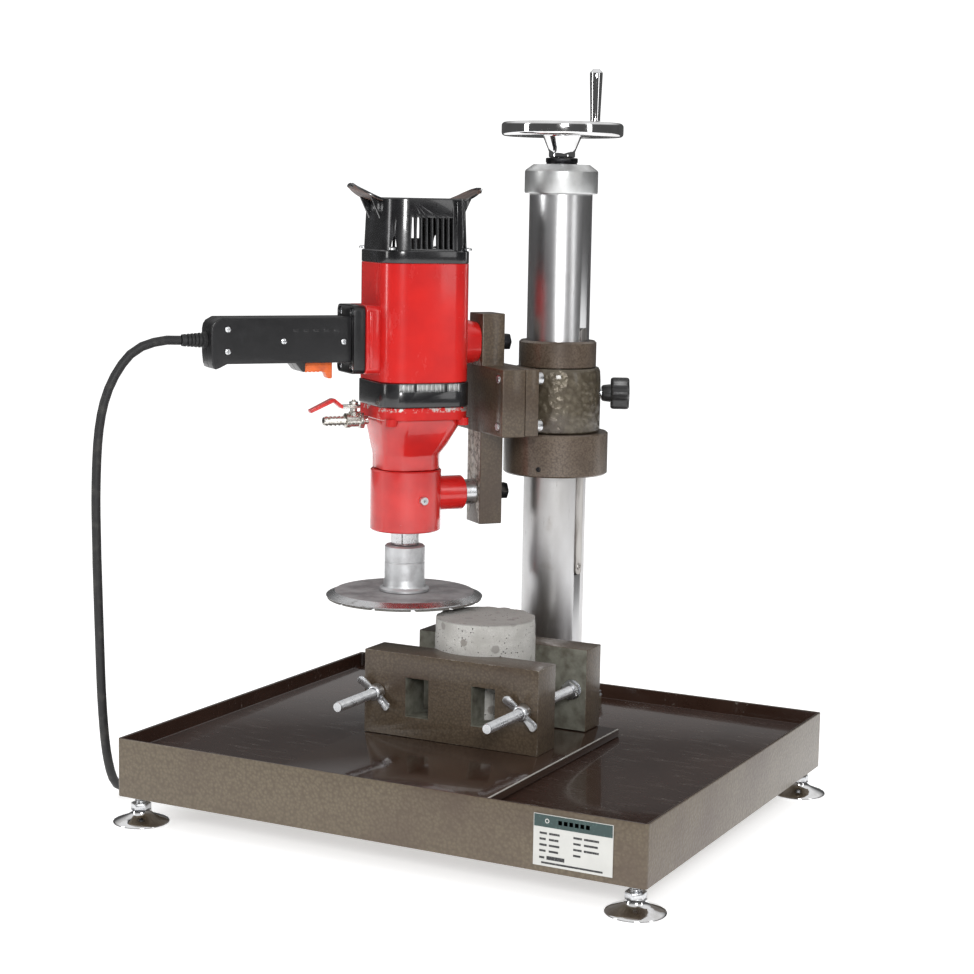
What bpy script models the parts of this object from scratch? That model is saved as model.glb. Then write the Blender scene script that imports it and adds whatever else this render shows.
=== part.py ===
"""Bench core end-face grinder: a core drill motor with a diamond disc on a screw-fed column.

Metres, +Z up. The origin is on the floor under the middle of the tray. X runs along the front edge
of the tray to the right, and Y runs to the back. The drill and its arm are drawn in arm_frame,
whose +X points from the column to the spindle. Heights are always measured from the floor.
"""

import math

import bmesh
import bpy
from mathutils import Matrix, Vector

# ---- driving sizes ----
GAP = 0.0003                    # between pieces that touch
SLIDE_GAP = 0.0005              # between pieces that slide or turn in each other
CUT_PAST = 0.01                 # how far a cutter runs out past the solid
OVERLAP = 0.001                 # how far a cutter or a welded piece runs into its neighbour

TRAY_LENGTH = 0.550
TRAY_DEPTH = 0.456
TRAY_HEIGHT = 0.057
TRAY_SHEET = 0.003
RIM_HEIGHT = 0.015              # the wall stands this far above the tray's floor sheet
FLOOR_SHEET = 0.004
GUSSET = 0.040
GUSSET_SHEET = 0.006

FOOT_HEIGHT = 0.028             # the tray's lower edge above the floor
FOOT_RADIUS = 0.0275
FOOT_INSET = 0.016
STUD_RADIUS = 0.006
STUD_LENGTH = 0.034
# the foot's domed disc: shares of its radius, and heights
FOOT_DOME = [(1.0, 0.0), (1.0, 0.0025), (0.92, 0.0045), (0.62, 0.0080), (0.40, 0.0105), (0.36, 0.0140)]

LABEL_LENGTH, LABEL_HEIGHT = 0.075, 0.046
LABEL_THICKNESS = 0.0008
LABEL_INSET = 0.031             # from the tray's right edge
LABEL_RISE = 0.006              # above the tray's lower edge

PLATE_LEFT, PLATE_RIGHT = -0.103, 0.113
PLATE_BACK = 0.080
PLATE_THICKNESS = 0.008

RIG_X = -0.005                  # the line of the jaws, the specimen and the column
SPECIMEN_Y = 0.013
SPECIMEN_RADIUS = 0.0501
SPECIMEN_LENGTH = 0.1135
JAW_WIDTH = 0.190
JAW_HEIGHT = 0.083
JAW_OPENING = 0.072             # between the jaws' flat faces
FRONT_JAW_THICKNESS = 0.0375
REAR_JAW_THICKNESS = 0.0335
WINDOW_WIDTH = 0.0255
WINDOW_HEIGHT = 0.0390
WINDOW_FOOT = 0.0205            # solid metal under each window
WINDOW_SPACING = 0.0725         # between the windows' middles

ROD_RADIUS = 0.005
ROD_SPACING = 0.160
ROD_HEIGHT = 0.0417             # above the jaw's underside
ROD_OVERHANG = 0.0765           # in front of the closed front jaw
ROD_SOCKET = 0.026              # depth in the rear jaw
ROD_CLEARANCE = 0.0008
NUT_RADIUS = ROD_RADIUS + 0.0048
NUT_LENGTH = 0.008
WING_SPAN = 0.044
WING_HUB_RADIUS = ROD_RADIUS + 0.0035
WING_HUB_LENGTH = 0.011
WING_TILT = math.radians(-40)
WING_THICKNESS = 0.0035
WING_ROOT = 0.003               # how far a wing runs into the hub
# each wing's outline: distances in from its tip, and heights over the rod's axis
WING_EDGE = [(0.004, -0.0030), (0.0, 0.0010), (0.002, 0.0050), (0.008, 0.0060)]
WING_ROOT_FOOT, WING_ROOT_TOP = -0.0035, 0.0040

COLUMN_RADIUS = 0.0325
COLUMN_WALL = 0.006
COLUMN_LENGTH = 0.5565
BASE_RADIUS = COLUMN_RADIUS + 0.0225
BASE_CLEAR = 0.004              # between the base and the tray's back wall
COLUMN_Y = TRAY_DEPTH / 2 - TRAY_SHEET - BASE_RADIUS - BASE_CLEAR
BASE_THICKNESS = 0.013
BASE_COLLAR_RADIUS = COLUMN_RADIUS + 0.0115
BASE_HEIGHT = 0.036
SLOT_WIDTH = 0.0126
SLOT_FOOT = 0.200
SLOT_END = 0.012                # solid tube between the slot and the cap
SLOT_ANGLE = math.radians(117)
KEY_ANGLE = math.radians(348)
KEY_WIDTH = 0.010
KEY_PROUD = 0.0015
KEY_DEPTH = 0.003
KEY_FOOT, KEY_TOP = 0.215, 0.472
CAP_RADIUS = COLUMN_RADIUS + 0.0053
CAP_HEIGHT = 0.0295
CAP_SOCKET = 0.018
CAP_SLOPE = 0.006
CAP_CROWN = 0.77                # the flat top's share of the cap's radius

SCREW_RADIUS = 0.008
SCREW_JOURNAL = 0.006
SCREW_FOOT = 0.100
FEED_NUT_RADIUS = COLUMN_RADIUS - COLUMN_WALL - 0.001
FEED_NUT_LENGTH = 0.036
FEED_NUT_RISE = 0.030           # above the carriage's foot
TONGUE_ROOT = 0.004
TONGUE_RELIEF = 0.001
LOCK_NUT_RADIUS = 0.017
LOCK_NUT_HEIGHT = 0.0065
WHEEL_RADIUS = 0.0626
WHEEL_RIM = 0.014
WHEEL_HUB_RADIUS = 0.0136
WHEEL_HEIGHT = 0.0352           # hub foot to rim top
WHEEL_RIM_WIDTH = 0.015
WHEEL_EDGE = 0.003
WHEEL_HUB_FOOT = 0.007          # the straight foot of the hub
WHEEL_HUB_HEIGHT = 0.022
WHEEL_HUB_TOP_RADIUS = 0.016
WEB_INNER = 0.030               # where the hub's cone meets the flat web
WEB_LOW, WEB_HIGH = 0.001, 0.006    # the web's faces above the rim's foot
WEB_THICK_DROP = 0.002          # the web thins towards the hub
WEB_HOLES = 3
WEB_HOLE_FOOT = 0.012           # the holes' cutters start this far above the hub's foot
WEB_HOLE_RADIUS = 0.0105
WEB_HOLE_ORBIT = 0.036
HANDLE_ANGLE = math.radians(332)
HANDLE_ORBIT = 0.0545
HANDLE_LENGTH = 0.052
HANDLE_RADIUS = 0.0065
HANDLE_FOOT_RADIUS = 0.0052
HANDLE_TIP_RADIUS = 0.0035
HANDLE_TIP = 0.0035
HANDLE_SWELL = 0.6              # the share of its length where it is thickest
PIN_RADIUS = 0.0022
PIN_SHARE = 0.75                # of the handle's length

CARRIAGE_FOOT = 0.320
RING_RADIUS = COLUMN_RADIUS + 0.0219
RING_HEIGHT = 0.044
SLEEVE_RADIUS = COLUMN_RADIUS + 0.0047
SLEEVE_TOP = 0.431
COLLAR_RADIUS = COLUMN_RADIUS + 0.0078
COLLAR_HEIGHT = 0.0272
CASTING_RADIUS = COLUMN_RADIUS + 0.0130
CASTING_STRAIGHT = 0.030        # its lower part, before the draft
CASTING_DRAFT = 0.001
CASTING_WEB_HALF = 0.032
CASTING_WELD = 0.002
CASTING_WEB_ROOT = 0.006
KNOB_ANGLE = math.radians(155)  # from the arm
KNOB_HEIGHT = 0.404
KNOB_RADIUS = 0.0185
KNOB_THICKNESS = 0.020
KNOB_NECK = 0.010
KNOB_NECK_RADIUS, KNOB_HEAD_RADIUS = 0.0065, 0.0085
KNOB_STEM_RADIUS = 0.004
KNOB_STEM_REACH = 0.0065        # inside the casting's wall
KNOB_LOBES = 6
KNOB_LOBE = 0.12                # a lobe's height, as a share of the radius

ARM_ANGLE = math.radians(231)
BRACKET_FACE = COLUMN_RADIUS + 0.0605   # the face that the drill bolts to
BRACKET_THICKNESS = 0.025
BRACKET_MIDDLE = 0.400
BRACKET_BAR_WIDTH = 0.034
BRACKET_FOOT, BRACKET_TOP = 0.271, 0.487
HEAD_WIDTH = 0.140              # the wide middle of the bracket, and the casting's flange
HEAD_HEIGHT = 0.068
FLANGE_THICKNESS = 0.0145
BOLT_RADIUS = 0.006
BOLT_HEAD_RADIUS = 0.009
BOLT_HEAD = 0.012
FLANGE_BOLT_X = 0.058
FLANGE_BOLT_Z = 0.024
FLANGE_BOLT_RADIUS = 0.004

MOTOR_HALF = 0.047
MOTOR_X = BRACKET_FACE + 0.021 + MOTOR_HALF     # the motor's axis, from the column's
SPINDLE_X = MOTOR_X + 0.007
MOTOR_CORNER = 0.024
MOTOR_WALL = 0.0035
MOTOR_FOOT, MOTOR_TOP = 0.420, 0.538
BOSS_HEIGHT = 0.041
UPPER_BOLT_STOP = 0.003         # short of the motor's wall
LOWER_BOLT_REACH = 0.008        # past the motor's face
UPPER_BOSS_Z = 0.4575
LOWER_BOSS_Z = 0.303
LOWER_BOSS_RADIUS = 0.0175
PAD_HALF = 0.027
PAD_HEIGHT = 0.068
PAD_THICKNESS = 0.014
CAP_BASE = 0.012
CAP_STEP = 0.0015
CAP_WALL = 0.003
REAR_CAP_TOP = 0.602
REAR_CAP_HALF = MOTOR_HALF - 0.0035
VENT_COUNT = 8
VENT_PITCH = 0.0058
VENT_WIDTH = 0.0032
VENT_FOOT, VENT_TOP = 0.552, 0.583
EAR_REACH = MOTOR_HALF + 0.024
EAR_ROOT = 0.006
EAR_TIP = 0.010
EAR_WIDTH = 0.046
EAR_RISE = 0.0135
EAR_THICKNESS = 0.003

BAND_FOOT = 0.3957
BAND_HALF = MOTOR_HALF + 0.001
BAND_WALL = 0.004
BAND_WINDOW = 0.0085
BAND_WINDOW_HALF = MOTOR_HALF - 0.014
GEARBOX_FLANGE_FOOT = 0.3825
GEARBOX_FOOT = 0.330
NECK_RADIUS = 0.034
NECK_TOP = 0.344
GEARBOX_WALL = 0.005
GEARBOX_FLOOR = 0.010
GEARBOX_RIM = 0.004             # the flange stands this far out from the cone
HOUSING_RADIUS = 0.036
HOUSING_FOOT = 0.2675
BEARING_STEP = 0.040            # the bore narrows this far above the housing's foot
SPACER_RADIUS = 0.013
SPACER_LENGTH = 0.0137

GEAR_MODULE = 0.001
PINION_TEETH, LAY_TEETH = 11, 29
LAY_PINION_TEETH, SPINDLE_TEETH = 13, 34
GEAR_FACE = 0.010
HIGH_GEAR_FOOT = 0.3790
LOW_GEAR_FOOT = HIGH_GEAR_FOOT - GEAR_FACE - 0.003
GEAR_ROOM = 0.0015              # clear height between the two stages
LAY_SHAFT_RADIUS = 0.004
LAY_SHAFT_FOOT, LAY_SHAFT_TOP = 0.006, 0.002    # past the gears, below and above
ARMATURE_RADIUS = 0.0245
ARMATURE_FOOT, ARMATURE_TOP = 0.444, 0.506
COMMUTATOR_RADIUS = 0.014
COMMUTATOR_TOP = 0.528
SHAFT_TOP = 0.562
STATOR_RADIUS = MOTOR_HALF - MOTOR_WALL - 0.002
STATOR_FOOT, STATOR_TOP = 0.442, 0.508
STATOR_BORE = 0.0255
FAN_RADIUS = MOTOR_HALF - 0.007
FAN_ROOT = 0.62                 # the blades' roots, as a share of the radius
FAN_FOOT, FAN_TOP = 0.4085, 0.4185
FAN_BLADES = 14
SHAFT_RADIUS = 0.005

SPINDLE_RADIUS = 0.0145
SPINDLE_JOURNAL = 0.010
SPINDLE_THREAD = 0.0105
THREAD_LENGTH = 0.022
FLAT_DEPTH = 0.0025
FLAT_LOW, FLAT_HIGH = 0.002, 0.0145     # the spanner flats, above the hub
HUB_RADIUS = 0.0205
HUB_TOP = 0.2515
HUB_FLARE = 0.0255
HUB_EDGE = 0.0015
# the flare under the hub: widths beyond the hub's radius, and heights above its foot
HUB_CURVE = [(0.001, 0.007), (0.0, 0.012)]
HUB_FLARE_EDGE = 0.003
DISC_BORE = 0.0045
DISC_RADIUS = 0.080
DISC_TOP = 0.204
DISC_FLAT_RADIUS = 0.072
DISC_FOOT = 0.1985
DISC_EDGE = 0.0045              # the chamfer's drop
DISC_LIP = 0.001
SEGMENT_HEIGHT = 0.002
SEGMENT_INNER = 0.060
SEGMENT_GAPS = 12
SEGMENT_GAP = 0.004

GRIP_MIDDLE = 0.462
GRIP_HEIGHT = 0.045
GRIP_HALF = 0.017
GRIP_WALL = 0.003
GRIP_END = MOTOR_X + MOTOR_HALF + 0.169
GRIP_FLANGE_HALF = 0.025
GRIP_FLANGE = 0.012
TRIGGER_FRONT = MOTOR_X + MOTOR_HALF + 0.042
TRIGGER_BACK = TRIGGER_FRONT + 0.031
TRIGGER_HALF = 0.006
TRIGGER_DROP = 0.0095
TRIGGER_HOOK = 0.0165
TRIGGER_HOOK_TIP, TRIGGER_HOOK_ROOT = 0.004, 0.007
TRIGGER_RISE = 0.004            # inside the grip's wall
GUARD_DROP, GUARD_LENGTH = 0.009, 0.010
# the grip's rounded end: distances in from its end, and heights from its lower or upper face
HEEL = [(0.016, 0.0), (0.009, -0.0035), (0.005, -0.005), (0.001, 0.0), (0.0, 0.010)]
CROWN = [(0.0, -0.012), (0.003, -0.004), (0.010, 0.0)]
SWITCH_HALF = 0.009
SWITCH_LENGTH = 0.035
SWITCH_ROOM = 0.0055            # over the trigger, for its travel
BOOT_RADIUS, BOOT_TIP = 0.0080, 0.0058
BOOT_LENGTH = 0.025
BOOT_FLANGE_RADIUS = 0.0075
BOOT_FLANGE = 0.003

VALVE_Z = 0.380
VALVE_RADIUS = 0.0075
VALVE_START, VALVE_END = MOTOR_HALF + 0.0020, MOTOR_HALF + 0.0290   # from the motor's axis
VALVE_PORT = 0.0045
VALVE_POST = 0.0035
BARB_ROOT, BARB_CREST = 0.0042, 0.0055
BARB_PITCH, BARB_EDGE = 0.004, 0.0005
BARBS = 2
BARB_LENGTH = 0.020
BARB_TIP = 0.0040
LEVER_Z = 0.3925
LEVER_PIVOT = MOTOR_HALF + 0.0170
LEVER_HALF = 0.0045
# the bent lever seen from its side: distances from its pivot, and heights over its foot
LEVER_LINE = [(-0.006, 0.0), (0.014, 0.0), (0.022, 0.0065), (0.046, -0.0040), (0.047, -0.0010),
              (0.024, 0.0100), (0.021, 0.0100), (0.013, 0.0035), (-0.006, 0.0035)]

CORD_RADIUS = 0.0045
TRAY_LEFT, TRAY_BACK = -TRAY_LENGTH / 2, TRAY_DEPTH / 2
COIL_CENTRE = (TRAY_LEFT + 0.085, TRAY_BACK + 0.078)
COIL_RADIUS = 0.0495            # the middle of the turns
COIL_HALF_WIDTH = 0.0092
COIL_HEIGHT = 0.0270
PLUG_NECK = 0.0050
# the plug's sections: distance along it, half width and height
PLUG_SECTIONS = [(0.0, PLUG_NECK, 0.010), (0.012, 0.007, 0.013), (0.022, 0.016, 0.022),
                 (0.045, 0.018, 0.024), (0.048, 0.016, 0.022)]
PIN_SPACING, PIN_HALF_WIDTH, PIN_LENGTH = 0.0126, 0.0030, 0.020
PIN_LOW, PIN_HIGH = 0.0110, 0.0125
# the free stretch of the lead: first in the air, from its boot, with the arm's heights and places
LEAD_FROM_BOOT = [(0.0, 0.0, 0.4620), (-0.0138, -0.0171, 0.4612), (-0.0303, -0.0365, 0.4500)]
# then beside the tray: distance out from its left side, place along Y, height
LEAD_BESIDE_TRAY = [
    (0.0270, -0.2000, 0.4200), (0.0340, -0.2080, 0.3800), (0.0370, -0.2100, 0.3200),
    (0.0380, -0.2080, 0.2500), (0.0390, -0.2040, 0.1800), (0.0410, -0.1980, 0.1100),
    (0.0450, -0.1860, 0.0550), (0.0520, -0.1640, 0.0190), (0.0610, -0.1300, 0.0060),
    (0.0680, -0.0800, 0.0050), (0.0690, -0.0100, 0.0050), (0.0670, 0.0700, 0.0050),
    (0.0690, 0.1500, 0.0050),
]
# and last round its back corner to the coil: distances out from the left side and from the back
LEAD_TO_COIL = [
    (0.0710, -0.0080, 0.0050), (0.0670, 0.0520, 0.0050), (0.0470, 0.1000, 0.0050),
    (0.0110, 0.1260, 0.0050), (-0.0270, 0.1322, 0.0050), (-0.0524, 0.1322, 0.0050),
]

SEAT_Z = FOOT_HEIGHT + TRAY_HEIGHT - RIM_HEIGHT         # top of the tray's floor sheet
PLATE_TOP = SEAT_Z + GAP + PLATE_THICKNESS
JAW_FOOT = PLATE_TOP + GAP
JAW_TOP = JAW_FOOT + JAW_HEIGHT
ROD_Z = JAW_FOOT + ROD_HEIGHT
COLUMN_FOOT = SEAT_Z + GAP
COLUMN_TOP = COLUMN_FOOT + COLUMN_LENGTH
CAP_TOP = COLUMN_TOP + GAP + CAP_HEIGHT - CAP_SOCKET
LOCK_NUT_TOP = CAP_TOP + GAP + LOCK_NUT_HEIGHT
WHEEL_FOOT = LOCK_NUT_TOP + GAP
WHEEL_TOP = WHEEL_FOOT + WHEEL_HEIGHT
RING_TOP = CARRIAGE_FOOT + RING_HEIGHT
CENTRE_X = MOTOR_X + MOTOR_HALF                         # the motor's face away from the column
FLANGE_FRONT = CENTRE_X + PAD_THICKNESS + GAP + GRIP_FLANGE


# ---- making and placing solids ----
def finish(name, colour, roughness, metallic=0.0):
    material = bpy.data.materials.new(name)
    material.use_nodes = True
    shader = material.node_tree.nodes["Principled BSDF"]
    shader.inputs["Base Color"].default_value = (*colour, 1.0)
    shader.inputs["Roughness"].default_value = roughness
    shader.inputs["Metallic"].default_value = metallic
    material.diffuse_color = (*colour, 1.0)
    return material


def frame_at(name, place, turn=0.0, parent=None):
    empty = bpy.data.objects.new(name, None)
    empty.location = place
    empty.rotation_euler = (0.0, 0.0, turn)
    empty.parent = parent
    bpy.context.scene.collection.objects.link(empty)
    return empty


def solid(name, shape, material, frame=None, origin=(0.0, 0.0, 0.0), smooth=True):
    """Turn a bmesh into a named object whose own origin is at a chosen point of its frame."""
    bmesh.ops.recalc_face_normals(shape, faces=shape.faces)
    bmesh.ops.translate(shape, verts=shape.verts, vec=-Vector(origin))
    mesh = bpy.data.meshes.new(name)
    shape.to_mesh(mesh)
    shape.free()
    mesh.materials.append(material)
    if smooth:
        mesh.shade_smooth()
        mesh.set_sharp_from_angle(angle=math.radians(35))
    thing = bpy.data.objects.new(name, mesh)
    thing.location = origin
    thing.parent = frame
    bpy.context.scene.collection.objects.link(thing)
    return thing


def shaped(thing, operation, *shapes):
    """Cut shapes out of a solid, or add them to it. They are drawn in the solid's frame."""
    for shape in shapes:
        bmesh.ops.recalc_face_normals(shape, faces=shape.faces)
        bmesh.ops.translate(shape, verts=shape.verts, vec=-thing.location)
        mesh = bpy.data.meshes.new(f"{thing.name}_tool")
        shape.to_mesh(mesh)
        shape.free()
        tool = bpy.data.objects.new(mesh.name, mesh)
        tool.location = thing.location
        tool.parent = thing.parent
        tool.hide_render = True
        tool.display_type = "WIRE"
        bpy.context.scene.collection.objects.link(tool)
        modifier = thing.modifiers.new(operation.lower(), "BOOLEAN")
        modifier.operation = operation
        modifier.solver = "EXACT"
        modifier.object = tool
    return thing


def cut(thing, *shapes):
    return shaped(thing, "DIFFERENCE", *shapes)


def weld(thing, *shapes):
    return shaped(thing, "UNION", *shapes)


# ---- shapes ----
def skin(rings, bored=False):
    """Join rings of equal count: capped at both ends, or closed on themselves round a bore."""
    shape = bmesh.new()
    rows = [[shape.verts.new(point) for point in ring] for ring in rings]
    pairs = list(zip(rows, rows[1:] + rows[:1])) if bored else list(zip(rows, rows[1:]))
    for low, high in pairs:
        for i in range(len(low)):
            j = (i + 1) % len(low)
            shape.faces.new((low[i], low[j], high[j], high[i]))
    if not bored:
        shape.faces.new(rows[0])
        shape.faces.new(rows[-1])
    return shape


def circle(radius, z, steps, centre=(0.0, 0.0), start=0.0):
    angles = [start + 2 * math.pi * i / steps for i in range(steps)]
    return [(centre[0] + radius * math.cos(a), centre[1] + radius * math.sin(a), z) for a in angles]


def turned(profile, steps=36, centre=(0.0, 0.0), bored=False, start=0.0):
    """A turned piece from (radius, height) pairs; a bored one's pairs go right round its section."""
    return skin([circle(radius, z, steps, centre, start) for radius, z in profile], bored)


def rod(radius, foot, top, steps=24, centre=(0.0, 0.0), start=0.0):
    return turned([(radius, foot), (radius, top)], steps, centre, start=start)


def aimed(shape, point, direction):
    """Stand a shape that was drawn up +Z from the origin on a point, along a direction."""
    turn = Vector((0.0, 0.0, 1.0)).rotation_difference(Vector(direction)).to_matrix().to_4x4()
    bmesh.ops.transform(shape, matrix=Matrix.Translation(point) @ turn, verts=shape.verts)
    return shape


def block(low, high):
    shape = bmesh.new()
    size = [b - a for a, b in zip(low, high)]
    middle = [(a + b) / 2 for a, b in zip(low, high)]
    bmesh.ops.create_cube(shape, size=1.0)
    bmesh.ops.transform(
        shape, matrix=Matrix.Translation(middle) @ Matrix.Diagonal((*size, 1.0)), verts=shape.verts
    )
    return shape


def slab(outline, foot, top):
    """An outline in X and Y, raised from foot to top."""
    return skin([[(x, y, z) for x, y in outline] for z in (foot, top)])


def side_slab(outline, near, far):
    """An outline in X and Z, with its thickness along Y."""
    return skin([[(x, y, z) for x, z in outline] for y in (near, far)])


def rounded_square(half, corner, z, centre, steps=5):
    points = []
    for quarter in range(4):
        middle = math.radians(45 + 90 * quarter)
        cx = centre[0] + (half - corner) * math.copysign(1, math.cos(middle))
        cy = centre[1] + (half - corner) * math.copysign(1, math.sin(middle))
        for i in range(steps + 1):
            a = math.radians(90 * quarter + 90 * i / steps)
            points.append((cx + corner * math.cos(a), cy + corner * math.sin(a), z))
    return points


def gear_outline(teeth, centre, turn):
    """A spur gear with straight-sided teeth, cut thin so that a pair runs with play."""
    pitch = GEAR_MODULE * teeth / 2
    levels = [(pitch - 1.20 * GEAR_MODULE, -0.15), (pitch + 0.65 * GEAR_MODULE, -0.07),
              (pitch + 0.65 * GEAR_MODULE, 0.07), (pitch - 1.20 * GEAR_MODULE, 0.15)]
    points = []
    for tooth in range(teeth):
        for radius, share in levels:
            a = turn + 2 * math.pi * (tooth + share) / teeth
            points.append((centre[0] + radius * math.cos(a), centre[1] + radius * math.sin(a)))
    return points


def smooth_line(route, spacing):
    """Evenly spaced points on a Catmull-Rom curve through the route's points."""
    knots = [Vector(p) for p in route]
    knots = [2 * knots[0] - knots[1]] + knots + [2 * knots[-1] - knots[-2]]
    fine = []
    for a, b, c, d in zip(knots, knots[1:], knots[2:], knots[3:]):
        for i in range(24):
            t = i / 24
            fine.append(0.5 * (2 * b + (c - a) * t + (2 * a - 5 * b + 4 * c - d) * t * t
                               + (3 * b - a - 3 * c + d) * t ** 3))
    fine.append(knots[-2])
    kept = [fine[0]]
    for point in fine[1:-1]:
        if (point - kept[-1]).length >= spacing:
            kept.append(point)
    if (fine[-1] - kept[-1]).length < spacing / 2:
        kept.pop()
    return kept + [fine[-1]]


for thing in list(bpy.data.objects):
    bpy.data.objects.remove(thing, do_unlink=True)

HAMMERTONE = finish("hammertone_paint", (0.115, 0.080, 0.055), 0.42)
DARK_PAINT = finish("dark_gloss_paint", (0.045, 0.022, 0.016), 0.18)
RED_PAINT = finish("red_paint", (0.62, 0.012, 0.010), 0.28)
BLACK_PLASTIC = finish("black_plastic", (0.018, 0.018, 0.019), 0.35)
ORANGE_PLASTIC = finish("orange_plastic", (0.80, 0.16, 0.010), 0.40)
CHROME = finish("chrome", (0.80, 0.80, 0.80), 0.10, 1.0)
STEEL = finish("turned_steel", (0.52, 0.52, 0.52), 0.30, 1.0)
ZINC = finish("zinc_plate", (0.62, 0.64, 0.66), 0.32, 1.0)
ALUMINIUM = finish("machined_aluminium", (0.66, 0.68, 0.68), 0.35, 1.0)
BLACK_STEEL = finish("black_steel", (0.020, 0.020, 0.022), 0.45, 0.6)
COPPER = finish("copper_winding", (0.55, 0.20, 0.08), 0.35, 1.0)
BRASS = finish("nickel_brass", (0.55, 0.50, 0.42), 0.25, 1.0)
LEVER_RED = finish("red_lever_grip", (0.62, 0.020, 0.015), 0.35)
DISC_GREY = finish("disc_paint", (0.180, 0.175, 0.170), 0.45, 0.3)
CONCRETE = finish("concrete", (0.48, 0.47, 0.44), 0.90)
LABEL = finish("printed_label", (0.60, 0.61, 0.58), 0.30)
RUBBER = finish("cord_rubber", (0.015, 0.015, 0.015), 0.60)

column_frame = frame_at("column_frame", (RIG_X, COLUMN_Y, 0.0))
arm_frame = frame_at("arm_frame", (0.0, 0.0, 0.0), ARM_ANGLE, column_frame)
clamp_frame = frame_at("clamp_frame", (RIG_X, SPECIMEN_Y, 0.0))


# ---- tray and feet ----
half_x, half_y = TRAY_LENGTH / 2, TRAY_DEPTH / 2
in_x, in_y = half_x - TRAY_SHEET, half_y - TRAY_SHEET
rim_z = FOOT_HEIGHT + TRAY_HEIGHT
foot_places = {
    f"{end}_{side}": (sx * (half_x - FOOT_INSET), sy * (half_y - FOOT_INSET))
    for end, sy in (("front", -1), ("back", 1))
    for side, sx in (("left", -1), ("right", 1))
}

tray = solid("tray", block((-half_x, -half_y, FOOT_HEIGHT), (half_x, half_y, rim_z)), HAMMERTONE)
under_x, under_y = in_x - GUSSET, in_y - GUSSET
gusset_top = FOOT_HEIGHT + GUSSET_SHEET
cut(
    tray,
    block((-in_x, -in_y, SEAT_Z), (in_x, in_y, rim_z + GUSSET_SHEET)),
    block((-in_x, -in_y, gusset_top), (in_x, in_y, SEAT_Z - FLOOR_SHEET)),
    block((-under_x, -in_y, 0.0), (under_x, in_y, gusset_top + GAP)),
    block((-in_x, -under_y, 0.0), (in_x, under_y, gusset_top + GAP)),
    *(rod(STUD_RADIUS + SLIDE_GAP, 0.0, gusset_top + GAP, 24, place) for place in foot_places.values()),
)

for corner, place in foot_places.items():
    dome = [(share * FOOT_RADIUS, z) for share, z in FOOT_DOME]
    spot = frame_at(f"foot_frame_{corner}", (*place, 0.0))
    solid(f"foot_disc_{corner}", turned(dome, 24), CHROME, spot)
    stud_foot = dome[-1][1] + GAP
    solid(f"foot_stud_{corner}", rod(STUD_RADIUS, stud_foot, stud_foot + STUD_LENGTH, 20), CHROME, spot)

solid(
    "mounting_plate",
    block((PLATE_LEFT, -in_y + GAP, SEAT_Z + GAP), (PLATE_RIGHT, PLATE_BACK, PLATE_TOP)),
    DARK_PAINT,
)
label_right, label_foot = half_x - LABEL_INSET, FOOT_HEIGHT + LABEL_RISE
solid(
    "rating_plate",
    block((label_right - LABEL_LENGTH, -half_y - GAP - LABEL_THICKNESS, label_foot),
          (label_right, -half_y - GAP, label_foot + LABEL_HEIGHT)),
    LABEL,
)

# ---- clamp: two jaws on threaded rods, and the concrete core between them ----
half_jaw = JAW_WIDTH / 2
clamp_origin = (0.0, 0.0, 0.0)


def jaw(name, face, back, origin):
    """A jaw with a hollow for the core. face and back are its sides along Y in the clamp's frame."""
    body = solid(
        name,
        block((-half_jaw, min(face, back), JAW_FOOT), (half_jaw, max(face, back), JAW_TOP)),
        HAMMERTONE, clamp_frame, origin,
    )
    hollow = rod(SPECIMEN_RADIUS + GAP, JAW_FOOT - CUT_PAST, JAW_TOP + CUT_PAST, 48)
    return cut(body, hollow)


front_face, front_back = -JAW_OPENING / 2, -JAW_OPENING / 2 - FRONT_JAW_THICKNESS
rear_face, rear_back = JAW_OPENING / 2, JAW_OPENING / 2 + REAR_JAW_THICKNESS
front_jaw = jaw("front_jaw", front_face, front_back, (0.0, front_back, JAW_FOOT))
rear_jaw = jaw("rear_jaw", rear_face, rear_back, clamp_origin)
for side in (-1, 1):
    middle = side * WINDOW_SPACING / 2
    cut(front_jaw, block(
        (middle - WINDOW_WIDTH / 2, front_back - CUT_PAST, JAW_FOOT + WINDOW_FOOT),
        (middle + WINDOW_WIDTH / 2, front_face + CUT_PAST, JAW_FOOT + WINDOW_FOOT + WINDOW_HEIGHT),
    ))

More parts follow.
